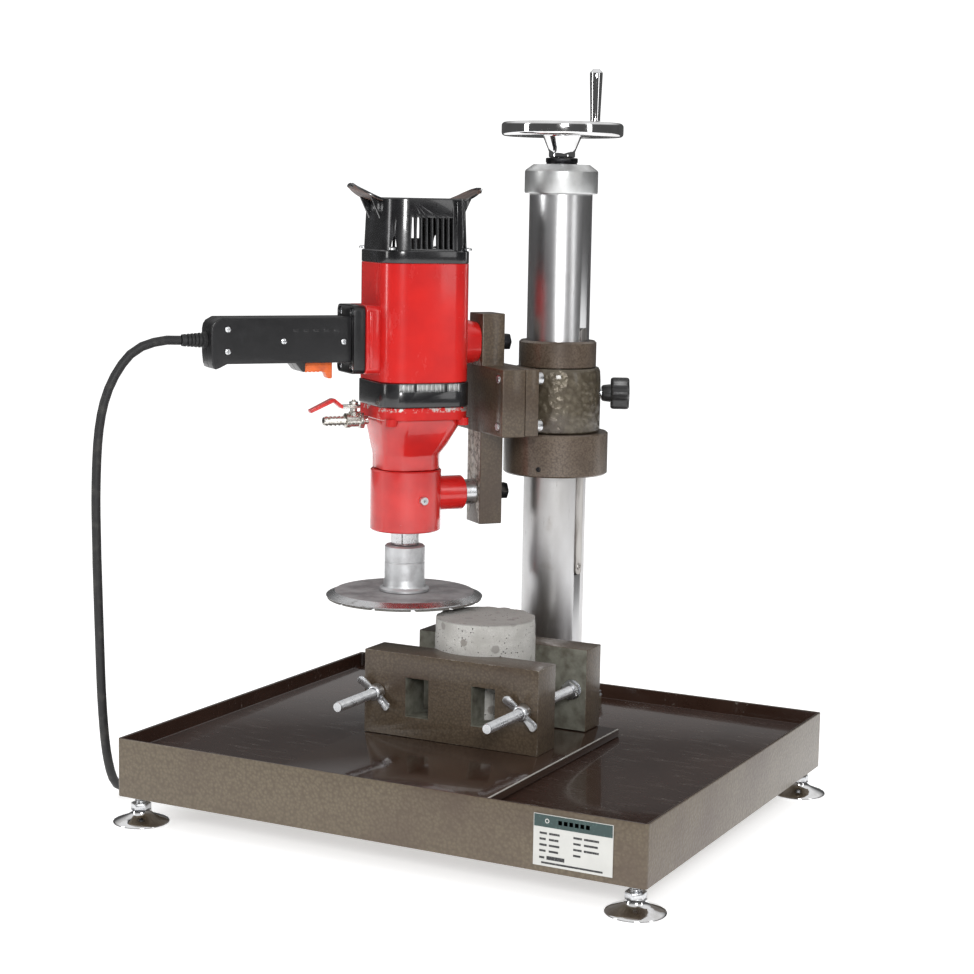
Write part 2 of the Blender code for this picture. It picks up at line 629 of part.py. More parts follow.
rod_front = front_back - ROD_OVERHANG
for label, side in (("left", -1), ("right", 1)):
    x = side * ROD_SPACING / 2
    along = (0.0, 1.0, 0.0)
    hole = rod(ROD_RADIUS + ROD_CLEARANCE, 0.0, rear_face + ROD_SOCKET - rod_front, 24)
    cut(front_jaw, aimed(hole, (x, rod_front, ROD_Z), along))
    socket = rod(ROD_RADIUS + GAP, 0.0, ROD_SOCKET + CUT_PAST, 20)
    cut(rear_jaw, aimed(socket, (x, rear_face - CUT_PAST, ROD_Z), along))
    length = rear_face + ROD_SOCKET - GAP - rod_front
    bar = aimed(rod(ROD_RADIUS, 0.0, length, 20), (x, rod_front, ROD_Z), along)
    solid(f"clamp_rod_{label}", bar, ZINC, clamp_frame, (x, rod_front, ROD_Z))
    nut = turned([(NUT_RADIUS, 0.0), (NUT_RADIUS, NUT_LENGTH), (ROD_RADIUS + GAP, NUT_LENGTH),
                  (ROD_RADIUS + GAP, 0.0)], 24, bored=True)
    nut_y = rear_face - GAP - NUT_LENGTH
    solid(f"rod_nut_{label}", aimed(nut, (x, nut_y, ROD_Z), along), ZINC, clamp_frame, (x, nut_y, ROD_Z))

    # the wing nut turns on the rod and pushes on the front jaw
    wing_y = front_back - GAP
    back = (0.0, -1.0, 0.0)
    hub = rod(WING_HUB_RADIUS, 0.0, WING_HUB_LENGTH, 24)
    wing = solid(f"wing_nut_{label}", aimed(hub, (x, wing_y, ROD_Z), back), ZINC, clamp_frame,
                 (x, wing_y, ROD_Z))
    for end in (-1, 1):
        root = WING_HUB_RADIUS - WING_ROOT
        edge = [(WING_SPAN / 2 - inset, z) for inset, z in WING_EDGE]
        outline = [(end * u, v) for u, v in [(root, WING_ROOT_FOOT), *edge, (root, WING_ROOT_TOP)]]
        blade_face = -WING_HUB_LENGTH + OVERLAP
        blade = side_slab(outline, blade_face, blade_face + WING_THICKNESS)
        turn = Matrix.Rotation(-WING_TILT, 4, "Y")
        bmesh.ops.transform(blade, matrix=Matrix.Translation((x, wing_y, ROD_Z)) @ turn, verts=blade.verts)
        weld(wing, blade)
    bore = rod(ROD_RADIUS + GAP, -OVERLAP, WING_HUB_LENGTH + OVERLAP, 20)
    cut(wing, aimed(bore, (x, wing_y, ROD_Z), back))

solid(
    "core_specimen",
    rod(SPECIMEN_RADIUS, JAW_FOOT, JAW_FOOT + SPECIMEN_LENGTH, 48),
    CONCRETE, clamp_frame,
)

# ---- column ----
base = [(BASE_RADIUS, COLUMN_FOOT), (BASE_RADIUS, COLUMN_FOOT + BASE_THICKNESS),
        (BASE_COLLAR_RADIUS, COLUMN_FOOT + BASE_THICKNESS), (BASE_COLLAR_RADIUS, COLUMN_FOOT + BASE_HEIGHT),
        (COLUMN_RADIUS + GAP, COLUMN_FOOT + BASE_HEIGHT), (COLUMN_RADIUS + GAP, COLUMN_FOOT)]
solid("column_base", turned(base, bored=True), HAMMERTONE, column_frame)

inner = COLUMN_RADIUS - COLUMN_WALL
tube = [(COLUMN_RADIUS, COLUMN_FOOT), (COLUMN_RADIUS, COLUMN_TOP), (inner, COLUMN_TOP),
        (inner, COLUMN_FOOT)]
column = solid("column_tube", turned(tube, bored=True), CHROME, column_frame)
slot_top = COLUMN_TOP - CAP_SOCKET - SLOT_END
slot = block((0.0, -SLOT_WIDTH / 2, SLOT_FOOT), (COLUMN_RADIUS + CUT_PAST, SLOT_WIDTH / 2, slot_top))
key_seat = block(
    (COLUMN_RADIUS - KEY_DEPTH - GAP, -KEY_WIDTH / 2 - GAP, KEY_FOOT - GAP),
    (COLUMN_RADIUS + CUT_PAST, KEY_WIDTH / 2 + GAP, KEY_TOP + GAP),
)
for shape, angle in ((slot, SLOT_ANGLE), (key_seat, KEY_ANGLE)):
    bmesh.ops.rotate(shape, verts=shape.verts, matrix=Matrix.Rotation(angle, 3, "Z"))
cut(column, slot, key_seat)
key = block((COLUMN_RADIUS - KEY_DEPTH, -KEY_WIDTH / 2, KEY_FOOT),
            (COLUMN_RADIUS + KEY_PROUD, KEY_WIDTH / 2, KEY_TOP))
bmesh.ops.rotate(key, verts=key.verts, matrix=Matrix.Rotation(KEY_ANGLE, 3, "Z"))
solid("column_key", key, STEEL, column_frame)

cap_foot = COLUMN_TOP - CAP_SOCKET
journal = SCREW_JOURNAL + GAP
cap = [(CAP_RADIUS, cap_foot), (CAP_RADIUS, CAP_TOP - CAP_SLOPE), (CAP_CROWN * CAP_RADIUS, CAP_TOP),
       (journal, CAP_TOP), (journal, COLUMN_TOP + GAP), (COLUMN_RADIUS + GAP, COLUMN_TOP + GAP),
       (COLUMN_RADIUS + GAP, cap_foot)]
solid("top_cap", turned(cap, bored=True), ALUMINIUM, column_frame)

# ---- feed: lead screw, handwheel and crank handle ----
shoulder = COLUMN_TOP - GAP
lead_screw = [(SCREW_RADIUS, SCREW_FOOT), (SCREW_RADIUS, shoulder), (SCREW_JOURNAL, shoulder),
              (SCREW_JOURNAL, WHEEL_FOOT + WHEEL_HUB_HEIGHT)]
solid("lead_screw", turned(lead_screw, 20), STEEL, column_frame)
lock_nut = [(LOCK_NUT_RADIUS, CAP_TOP + GAP), (LOCK_NUT_RADIUS, LOCK_NUT_TOP),
            (journal, LOCK_NUT_TOP), (journal, CAP_TOP + GAP)]
solid("lock_nut", turned(lock_nut, 24, bored=True), BLACK_STEEL, column_frame)

rim_foot = WHEEL_TOP - WHEEL_RIM
rim_in = WHEEL_RADIUS - WHEEL_RIM_WIDTH
web_low, web_high = rim_foot + WEB_LOW, rim_foot + WEB_HIGH
hub_top = WHEEL_FOOT + WHEEL_HUB_HEIGHT
wheel = [
    (WHEEL_HUB_RADIUS, WHEEL_FOOT), (WHEEL_HUB_RADIUS, WHEEL_FOOT + WHEEL_HUB_FOOT),
    (WEB_INNER, web_low), (rim_in, web_low), (WHEEL_RADIUS - WHEEL_EDGE, rim_foot),
    (WHEEL_RADIUS, rim_foot + WHEEL_EDGE), (WHEEL_RADIUS, WHEEL_TOP - WHEEL_EDGE),
    (WHEEL_RADIUS - WHEEL_EDGE, WHEEL_TOP), (rim_in + WHEEL_EDGE, WHEEL_TOP),
    (rim_in, WHEEL_TOP - WHEEL_EDGE), (rim_in, web_high), (WEB_INNER, web_high),
    (WHEEL_HUB_TOP_RADIUS, web_high - WEB_THICK_DROP), (WHEEL_HUB_TOP_RADIUS, hub_top),
    (journal, hub_top), (journal, WHEEL_FOOT),
]
handwheel = solid("handwheel", turned(wheel, bored=True), CHROME, column_frame)
for i in range(WEB_HOLES):
    a = HANDLE_ANGLE + math.pi * (2 * i + 1) / WEB_HOLES
    place = (WEB_HOLE_ORBIT * math.cos(a), WEB_HOLE_ORBIT * math.sin(a))
    cut(handwheel, rod(WEB_HOLE_RADIUS, WHEEL_FOOT + WEB_HOLE_FOOT, WHEEL_TOP + OVERLAP, 20, place))

handle_place = (HANDLE_ORBIT * math.cos(HANDLE_ANGLE), HANDLE_ORBIT * math.sin(HANDLE_ANGLE))
handle_foot = WHEEL_TOP + GAP
pin_top = handle_foot + PIN_SHARE * HANDLE_LENGTH
handle_top = handle_foot + HANDLE_LENGTH
weld(handwheel, rod(PIN_RADIUS, WHEEL_TOP - WHEEL_RIM / 2, pin_top, 12, handle_place))
bore = PIN_RADIUS + SLIDE_GAP
handle = [(bore, handle_foot), (HANDLE_FOOT_RADIUS, handle_foot),
          (HANDLE_RADIUS, handle_foot + HANDLE_SWELL * HANDLE_LENGTH),
          (HANDLE_RADIUS, handle_top - HANDLE_TIP), (HANDLE_TIP_RADIUS, handle_top)]
crank = turned(handle, 20, handle_place)
crank_handle = solid("crank_handle", crank, CHROME, column_frame, (*handle_place, handle_foot))
cut(crank_handle, rod(bore, handle_foot - CUT_PAST, pin_top + SLIDE_GAP, 20, handle_place))

# ---- carriage: keyed sleeve on the column, driven by the feed nut ----
sleeve_bore = COLUMN_RADIUS + SLIDE_GAP
sleeve = [(RING_RADIUS, CARRIAGE_FOOT), (RING_RADIUS, RING_TOP), (SLEEVE_RADIUS, RING_TOP),
          (SLEEVE_RADIUS, SLEEVE_TOP), (sleeve_bore, SLEEVE_TOP), (sleeve_bore, CARRIAGE_FOOT)]
carriage_sleeve = solid("carriage_sleeve", turned(sleeve, bored=True), HAMMERTONE, column_frame)
collar_foot = SLEEVE_TOP + GAP
collar_top = collar_foot + COLLAR_HEIGHT
collar = [(COLLAR_RADIUS, collar_foot), (COLLAR_RADIUS, collar_top), (sleeve_bore, collar_top),
          (sleeve_bore, collar_foot)]
upper_collar = solid("upper_collar", turned(collar, bored=True), HAMMERTONE, column_frame)
for piece in (carriage_sleeve, upper_collar):
    keyway = block((0.0, -KEY_WIDTH / 2 - SLIDE_GAP, CARRIAGE_FOOT - CUT_PAST),
                   (COLUMN_RADIUS + KEY_PROUD + SLIDE_GAP, KEY_WIDTH / 2 + SLIDE_GAP,
                    collar_top + CUT_PAST))
    bmesh.ops.rotate(keyway, verts=keyway.verts, matrix=Matrix.Rotation(KEY_ANGLE, 3, "Z"))
    cut(piece, keyway)

nut_foot = CARRIAGE_FOOT + FEED_NUT_RISE
nut_top = nut_foot + FEED_NUT_LENGTH
thread = SCREW_RADIUS + GAP
nut = [(FEED_NUT_RADIUS, nut_foot), (FEED_NUT_RADIUS, nut_top), (thread, nut_top), (thread, nut_foot)]
feed_nut = solid("feed_nut", turned(nut, 24, bored=True), BRASS, column_frame)
tongue = block((FEED_NUT_RADIUS - TONGUE_ROOT, -SLOT_WIDTH / 2 + SLIDE_GAP, nut_foot + TONGUE_ROOT),
               (COLUMN_RADIUS - TONGUE_RELIEF, SLOT_WIDTH / 2 - SLIDE_GAP, nut_top - TONGUE_ROOT))
bmesh.ops.rotate(tongue, verts=tongue.verts, matrix=Matrix.Rotation(SLOT_ANGLE, 3, "Z"))
weld(feed_nut, tongue)

# ---- swing casting and its lock knob ----
casting_foot = RING_TOP + SLIDE_GAP
casting_top = SLEEVE_TOP - GAP
casting_bore = SLEEVE_RADIUS + SLIDE_GAP
casting = [(CASTING_RADIUS, casting_foot), (CASTING_RADIUS, casting_foot + CASTING_STRAIGHT),
           (CASTING_RADIUS - CASTING_DRAFT, casting_top), (casting_bore, casting_top),
           (casting_bore, casting_foot)]
swing_casting = solid("swing_casting", turned(casting, bored=True), HAMMERTONE, arm_frame)
flange_face = BRACKET_FACE - BRACKET_THICKNESS - GAP
flange_back = flange_face - FLANGE_THICKNESS
head_low, head_high = BRACKET_MIDDLE - HEAD_HEIGHT / 2, BRACKET_MIDDLE + HEAD_HEIGHT / 2
head_half = HEAD_WIDTH / 2
weld(
    swing_casting,
    block((CASTING_RADIUS - CASTING_WEB_ROOT, -CASTING_WEB_HALF, head_low + CASTING_WELD),
          (flange_back + CASTING_WELD, CASTING_WEB_HALF, casting_top - CASTING_WELD)),
    block((flange_back, -head_half, head_low + SLIDE_GAP), (flange_face, head_half, head_high)),
)
knob_way = (math.cos(KNOB_ANGLE), math.sin(KNOB_ANGLE), 0.0)
knob_bore = rod(KNOB_STEM_RADIUS + SLIDE_GAP, SLEEVE_RADIUS - CASTING_WELD, CASTING_RADIUS + CUT_PAST, 16)
cut(swing_casting, aimed(knob_bore, (0.0, 0.0, KNOB_HEIGHT), knob_way))

neck_start = CASTING_RADIUS + GAP
head_start = neck_start + KNOB_NECK
stem = turned([(KNOB_STEM_RADIUS, CASTING_RADIUS - KNOB_STEM_REACH), (KNOB_STEM_RADIUS, neck_start),
               (KNOB_NECK_RADIUS, neck_start), (KNOB_HEAD_RADIUS, head_start + OVERLAP),
               (KNOB_HEAD_RADIUS, head_start + KNOB_THICKNESS / 2)], 16)
lock_knob = solid("lock_knob", aimed(stem, (0.0, 0.0, KNOB_HEIGHT), knob_way), BLACK_PLASTIC, arm_frame,
                  (neck_start * knob_way[0], neck_start * knob_way[1], KNOB_HEIGHT))
star = []
for i in range(KNOB_LOBES * 6):
    a = 2 * math.pi * i / (KNOB_LOBES * 6)
    radius = KNOB_RADIUS * (1 - KNOB_LOBE + KNOB_LOBE * math.cos(KNOB_LOBES * a))
    star.append((radius * math.cos(a), radius * math.sin(a)))
head = slab(star, head_start, head_start + KNOB_THICKNESS)
weld(lock_knob, aimed(head, (0.0, 0.0, KNOB_HEIGHT), knob_way))

# ---- bracket between the casting and the drill ----
back_face = BRACKET_FACE - BRACKET_THICKNESS
bar_half = BRACKET_BAR_WIDTH / 2
upright = block((back_face, -bar_half, BRACKET_FOOT), (BRACKET_FACE, bar_half, BRACKET_TOP))
bracket = solid("bracket", upright, HAMMERTONE, arm_frame)
weld(bracket, block((back_face, -head_half, head_low), (BRACKET_FACE, head_half, head_high)))

bolt_heights = {"upper": UPPER_BOSS_Z, "lower": LOWER_BOSS_Z}
for label, z in bolt_heights.items():
    hole = rod(BOLT_RADIUS + GAP, back_face - CUT_PAST, BRACKET_FACE + CUT_PAST, 20)
    cut(bracket, aimed(hole, (0.0, 0.0, z), (1.0, 0.0, 0.0)))
for sy in (-1, 1):
    for sz in (-1, 1):
        place = (0.0, sy * FLANGE_BOLT_X, BRACKET_MIDDLE + sz * FLANGE_BOLT_Z)
        for piece in (bracket, swing_casting):
            hole = rod(FLANGE_BOLT_RADIUS + GAP, flange_back - CUT_PAST, BRACKET_FACE + CUT_PAST, 16)
            cut(piece, aimed(hole, place, (1.0, 0.0, 0.0)))

# ---- drill motor ----
motor_centre = (MOTOR_X, 0.0)


def square_shell(half_foot, half_top, foot, top, wall, corner=MOTOR_CORNER):
    """A rounded-square tube round the motor's axis, open at both ends."""
    return skin([
        rounded_square(half_foot, corner, foot, motor_centre),
        rounded_square(half_top, corner, top, motor_centre),
        rounded_square(half_top - wall, corner - wall, top, motor_centre),
        rounded_square(half_foot - wall, corner - wall, foot, motor_centre),
    ], bored=True)


motor_housing = solid(
    "motor_housing",
    square_shell(MOTOR_HALF, MOTOR_HALF, MOTOR_FOOT, MOTOR_TOP, MOTOR_WALL), RED_PAINT, arm_frame,
)
inside = MOTOR_HALF - MOTOR_WALL / 2
weld(
    motor_housing,
    block((BRACKET_FACE + GAP, -bar_half, UPPER_BOSS_Z - BOSS_HEIGHT / 2),
          (MOTOR_X - inside, bar_half, UPPER_BOSS_Z + BOSS_HEIGHT / 2)),
    block((MOTOR_X + inside, -PAD_HALF, GRIP_MIDDLE - PAD_HEIGHT / 2),
          (CENTRE_X + PAD_THICKNESS, PAD_HALF, GRIP_MIDDLE + PAD_HEIGHT / 2)),
)
bolt_end = MOTOR_X - MOTOR_HALF - UPPER_BOLT_STOP
for label, z in bolt_heights.items():
    tip = bolt_end if label == "upper" else MOTOR_X - MOTOR_HALF + LOWER_BOLT_REACH
    bolt = turned([(BOLT_HEAD_RADIUS, back_face - GAP - BOLT_HEAD), (BOLT_HEAD_RADIUS, back_face - GAP),
                   (BOLT_RADIUS, back_face - GAP), (BOLT_RADIUS, tip)], 20)
    solid(f"bracket_bolt_{label}", aimed(bolt, (0.0, 0.0, z), (1.0, 0.0, 0.0)), BLACK_STEEL, arm_frame,
          (0.0, 0.0, z))
boss_hole = rod(BOLT_RADIUS + GAP, BRACKET_FACE - CUT_PAST, bolt_end + OVERLAP, 20)
cut(motor_housing, aimed(boss_hole, (0.0, 0.0, UPPER_BOSS_Z), (1.0, 0.0, 0.0)))

cap_start = MOTOR_TOP + GAP
ring_top = cap_start + CAP_BASE
corner, wall = MOTOR_CORNER, CAP_WALL
roof = REAR_CAP_TOP - wall
rear_cap = solid("rear_cap", skin([
    rounded_square(MOTOR_HALF, corner, cap_start, motor_centre),
    rounded_square(MOTOR_HALF, corner, ring_top, motor_centre),
    rounded_square(MOTOR_HALF - CAP_STEP, corner, ring_top, motor_centre),
    rounded_square(REAR_CAP_HALF, corner, REAR_CAP_TOP, motor_centre),
]), BLACK_PLASTIC, arm_frame)
hollow = skin([
    rounded_square(MOTOR_HALF - wall, corner - wall, cap_start - CUT_PAST, motor_centre),
    rounded_square(MOTOR_HALF - wall, corner - wall, ring_top, motor_centre),
    rounded_square(REAR_CAP_HALF - wall, corner - wall, roof, motor_centre),
])
for side in (-1, 1):
    run = REAR_CAP_HALF - EAR_ROOT
    ear = side_slab(
        [(MOTOR_X + side * x, z) for x, z in (
            (run, REAR_CAP_TOP - EAR_ROOT), (REAR_CAP_HALF, REAR_CAP_TOP - EAR_ROOT),
            (EAR_REACH, REAR_CAP_TOP + EAR_RISE - EAR_THICKNESS), (EAR_REACH, REAR_CAP_TOP + EAR_RISE),
            (EAR_REACH - EAR_TIP, REAR_CAP_TOP + EAR_RISE), (run, REAR_CAP_TOP - SLIDE_GAP))],
        -EAR_WIDTH / 2, EAR_WIDTH / 2,
    )
    weld(rear_cap, ear)
cut(rear_cap, hollow)
for side in (-1, 1):
    for i in range(VENT_COUNT):
        x = MOTOR_X + (i - (VENT_COUNT - 1) / 2) * VENT_PITCH
        near, far = sorted((side * (REAR_CAP_HALF - 2 * CAP_WALL), side * (MOTOR_HALF + CAP_WALL)))
        cut(rear_cap, block((x - VENT_WIDTH / 2, near, VENT_FOOT), (x + VENT_WIDTH / 2, far, VENT_TOP)))

stator = [(STATOR_RADIUS, STATOR_FOOT), (STATOR_RADIUS, STATOR_TOP), (STATOR_BORE, STATOR_TOP),
          (STATOR_BORE, STATOR_FOOT)]
solid("stator", turned(stator, 24, motor_centre, bored=True), COPPER, arm_frame)

# gears: motor pinion to lay gear, and lay pinion to spindle gear
first_span = GEAR_MODULE * (PINION_TEETH + LAY_TEETH) / 2
second_span = GEAR_MODULE * (LAY_PINION_TEETH + SPINDLE_TEETH) / 2
offset = SPINDLE_X - MOTOR_X
along = (first_span ** 2 - second_span ** 2 + offset ** 2) / (2 * offset)
across = math.sqrt(first_span ** 2 - along ** 2)
lay_centre = (MOTOR_X + along, across)
to_lay = math.atan2(across, along)
to_spindle = math.atan2(-across, offset - along)
spindle_centre = (SPINDLE_X, 0.0)
high_gear_top = HIGH_GEAR_FOOT + GEAR_FACE

armature = turned([
    (SHAFT_RADIUS, high_gear_top), (SHAFT_RADIUS, ARMATURE_FOOT), (ARMATURE_RADIUS, ARMATURE_FOOT),
    (ARMATURE_RADIUS, ARMATURE_TOP), (COMMUTATOR_RADIUS, ARMATURE_TOP),
    (COMMUTATOR_RADIUS, COMMUTATOR_TOP), (SHAFT_RADIUS, COMMUTATOR_TOP), (SHAFT_RADIUS, SHAFT_TOP),
], 24, motor_centre)
shaft = solid("armature", armature, STEEL, arm_frame, (*motor_centre, HIGH_GEAR_FOOT))
weld(shaft, slab(gear_outline(PINION_TEETH, motor_centre, to_lay), HIGH_GEAR_FOOT - OVERLAP,
                 high_gear_top + OVERLAP))

blades = []
for i in range(2 * FAN_BLADES):
    for share in (0.0, 1.0):
        a = math.pi * (i + 0.5 * share + (0.25 if i % 2 else 0.0)) / FAN_BLADES
        r = FAN_RADIUS if i % 2 == 0 else FAN_ROOT * FAN_RADIUS
        blades.append((MOTOR_X + r * math.cos(a), r * math.sin(a)))
fan = solid("cooling_fan", slab(blades, FAN_FOOT, FAN_TOP), ALUMINIUM, arm_frame, (*motor_centre, FAN_FOOT))
cut(fan, rod(SHAFT_RADIUS + GAP, FAN_FOOT - CUT_PAST, FAN_TOP + CUT_PAST, 24, motor_centre))

lay_gear_turn = to_lay + math.pi + math.pi / LAY_TEETH
lay_gear = slab(gear_outline(LAY_TEETH, lay_centre, lay_gear_turn), HIGH_GEAR_FOOT, high_gear_top)
lay = solid("lay_shaft_gears", lay_gear, STEEL, arm_frame, (*lay_centre, HIGH_GEAR_FOOT))
weld(
    lay,
    slab(gear_outline(LAY_PINION_TEETH, lay_centre, to_spindle), LOW_GEAR_FOOT - GEAR_ROOM / 2,
         HIGH_GEAR_FOOT + OVERLAP),
    rod(LAY_SHAFT_RADIUS, LOW_GEAR_FOOT - LAY_SHAFT_FOOT, high_gear_top + LAY_SHAFT_TOP, 16, lay_centre),
)

spindle_turn = to_spindle + math.pi + math.pi / SPINDLE_TEETH
low_gear_top = LOW_GEAR_FOOT + GEAR_FACE
big_gear = slab(gear_outline(SPINDLE_TEETH, spindle_centre, spindle_turn), LOW_GEAR_FOOT, low_gear_top)
spindle_gear = solid("spindle_gear", big_gear, STEEL, arm_frame, (*spindle_centre, LOW_GEAR_FOOT))
cut(spindle_gear, rod(SPINDLE_JOURNAL + GAP, LOW_GEAR_FOOT - CUT_PAST, low_gear_top + CUT_PAST, 24,
                      spindle_centre))

# ---- gearbox ----
band = solid("fan_band", square_shell(BAND_HALF, BAND_HALF, BAND_FOOT, MOTOR_FOOT - GAP, BAND_WALL),
             BLACK_PLASTIC, arm_frame)
window_foot = MOTOR_FOOT - GAP - BAND_WINDOW
reach = BAND_HALF + CUT_PAST
cut(band, block((MOTOR_X - BAND_WINDOW_HALF, -reach, window_foot),
                (MOTOR_X + BAND_WINDOW_HALF, reach, MOTOR_FOOT + CUT_PAST)))

flange_top = BAND_FOOT - GAP


def neck_ring(radius, z, steps=5):
    """A circle round the spindle with one point for each point of a rounded square."""
    points = []
    for quarter in range(4):
        for i in range(steps + 1):
            a = math.radians(90 * quarter + 90 * (i + 0.5) / (steps + 1))
            points.append((SPINDLE_X + radius * math.cos(a), radius * math.sin(a), z))
    return points


cone_top = MOTOR_HALF - GEARBOX_RIM
cone_inside, inside_corner = cone_top - GEARBOX_WALL, MOTOR_CORNER - GEARBOX_WALL
gearbox_low, floor_top = GEARBOX_FOOT + GAP, GEARBOX_FOOT + GEARBOX_FLOOR
gearbox = solid("gearbox_housing", skin([
    neck_ring(NECK_RADIUS, gearbox_low),
    neck_ring(NECK_RADIUS, NECK_TOP),
    rounded_square(cone_top, MOTOR_CORNER, GEARBOX_FLANGE_FOOT, motor_centre),
    rounded_square(MOTOR_HALF, MOTOR_CORNER, GEARBOX_FLANGE_FOOT, motor_centre),
    rounded_square(MOTOR_HALF, MOTOR_CORNER, flange_top, motor_centre),
    rounded_square(cone_inside, inside_corner, flange_top, motor_centre),
    rounded_square(cone_inside, inside_corner, GEARBOX_FLANGE_FOOT, motor_centre),
    neck_ring(NECK_RADIUS - GEARBOX_WALL, NECK_TOP + 2 * OVERLAP),
    neck_ring(NECK_RADIUS - GEARBOX_WALL, floor_top),
    neck_ring(SPINDLE_JOURNAL + SLIDE_GAP, floor_top),
    neck_ring(SPINDLE_JOURNAL + SLIDE_GAP, gearbox_low),
], bored=True), RED_PAINT, arm_frame)

spindle_bore = SPINDLE_RADIUS + SLIDE_GAP
journal_bore, bearing_step = SPINDLE_JOURNAL + SLIDE_GAP, HOUSING_FOOT + BEARING_STEP
housing = [(HOUSING_RADIUS, HOUSING_FOOT), (HOUSING_RADIUS, GEARBOX_FOOT), (journal_bore, GEARBOX_FOOT),
           (journal_bore, bearing_step), (spindle_bore, bearing_step), (spindle_bore, HOUSING_FOOT)]
spindle_housing = solid("spindle_housing", turned(housing, 36, spindle_centre, bored=True), RED_PAINT,
                        arm_frame)
boss_start, boss_step = BRACKET_FACE + GAP, BRACKET_FACE + SPACER_LENGTH
boss_root = SPINDLE_X - HOUSING_RADIUS + 6 * OVERLAP
weld(spindle_housing, aimed(
    turned([(SPACER_RADIUS, boss_start), (SPACER_RADIUS, boss_step), (LOWER_BOSS_RADIUS, boss_step),
            (LOWER_BOSS_RADIUS, boss_root)], 32),
    (0.0, 0.0, LOWER_BOSS_Z), (1.0, 0.0, 0.0)))
lower_hole = rod(BOLT_RADIUS + GAP, BRACKET_FACE - CUT_PAST,
                 MOTOR_X - MOTOR_HALF + LOWER_BOLT_REACH + OVERLAP, 20)
cut(spindle_housing, aimed(lower_hole, (0.0, 0.0, LOWER_BOSS_Z), (1.0, 0.0, 0.0)))

# ---- spindle, hub and grinding disc ----
shoulder = bearing_step - 2 * OVERLAP
spindle = [(SPINDLE_THREAD, HUB_TOP - THREAD_LENGTH), (SPINDLE_THREAD, HUB_TOP + GAP),
           (SPINDLE_RADIUS, HUB_TOP + GAP), (SPINDLE_RADIUS, shoulder), (SPINDLE_JOURNAL, shoulder),
           (SPINDLE_JOURNAL, low_gear_top)]
spindle_shaft = solid("spindle", turned(spindle, 24, spindle_centre), STEEL, arm_frame,
                      (*spindle_centre, HUB_TOP))
wide = SPINDLE_RADIUS + CUT_PAST
for side in (-1, 1):
    near, far = sorted((side * (SPINDLE_RADIUS - FLAT_DEPTH), side * wide))
    cut(spindle_shaft, block((SPINDLE_X - wide, near, HUB_TOP + FLAT_LOW),
                             (SPINDLE_X + wide, far, HUB_TOP + FLAT_HIGH)))

hub_foot = DISC_TOP + GAP
socket_foot = HUB_TOP - THREAD_LENGTH - SLIDE_GAP
hub = [(HUB_FLARE, hub_foot), (HUB_FLARE, hub_foot + HUB_FLARE_EDGE),
       *((HUB_RADIUS + wider, hub_foot + rise) for wider, rise in HUB_CURVE),
       (HUB_RADIUS, HUB_TOP - HUB_EDGE), (HUB_RADIUS - HUB_EDGE, HUB_TOP),
       (SPINDLE_THREAD + GAP, HUB_TOP), (SPINDLE_THREAD + GAP, socket_foot),
       (DISC_BORE, socket_foot), (DISC_BORE, hub_foot)]
solid("disc_hub", turned(hub, 24, spindle_centre, bored=True), ALUMINIUM, arm_frame,
      (*spindle_centre, hub_foot))

lip, segment_foot = DISC_RADIUS - DISC_LIP, DISC_FOOT - SEGMENT_HEIGHT
disc = [(DISC_BORE, DISC_FOOT), (SEGMENT_INNER, DISC_FOOT), (SEGMENT_INNER, segment_foot),
        (lip, segment_foot), (lip, DISC_FOOT), (DISC_RADIUS, DISC_FOOT + SLIDE_GAP),
        (DISC_RADIUS, DISC_TOP - DISC_EDGE), (DISC_FLAT_RADIUS, DISC_TOP), (DISC_BORE, DISC_TOP)]
grinding_disc = solid("grinding_disc", turned(disc, 48, spindle_centre, bored=True), DISC_GREY, arm_frame,
                      (*spindle_centre, DISC_FOOT))
for i in range(SEGMENT_GAPS):
    gap = block((SEGMENT_INNER - 2 * OVERLAP, -SEGMENT_GAP / 2, segment_foot - CUT_PAST),
                (DISC_RADIUS + CUT_PAST, SEGMENT_GAP / 2, DISC_FOOT))
    turn = Matrix.Rotation(2 * math.pi * (i + 0.5) / SEGMENT_GAPS, 4, "Z")
    bmesh.ops.transform(gap, matrix=Matrix.Translation((SPINDLE_X, 0.0, 0.0)) @ turn, verts=gap.verts)
    cut(grinding_disc, gap)

# ---- grip, trigger and switch ----
pad_end = CENTRE_X + PAD_THICKNESS + GAP
grip_flange = solid(
    "grip_flange",
    block((pad_end, -GRIP_FLANGE_HALF, GRIP_MIDDLE - PAD_HEIGHT / 2),
          (FLANGE_FRONT, GRIP_FLANGE_HALF, GRIP_MIDDLE + PAD_HEIGHT / 2)),
    BLACK_PLASTIC, arm_frame,
)
low, high = GRIP_MIDDLE - GRIP_HEIGHT / 2, GRIP_MIDDLE + GRIP_HEIGHT / 2
start = FLANGE_FRONT + GAP
guard = TRIGGER_BACK + 2 * GAP
side_view = [
    (start, low), (guard, low), (guard, low - GUARD_DROP), (guard + GUARD_LENGTH, low),
    *((GRIP_END - inset, low + rise) for inset, rise in HEEL),
    *((GRIP_END - inset, high + rise) for inset, rise in CROWN),
    (start, high),
]
boot_hole = BOOT_TIP + GAP
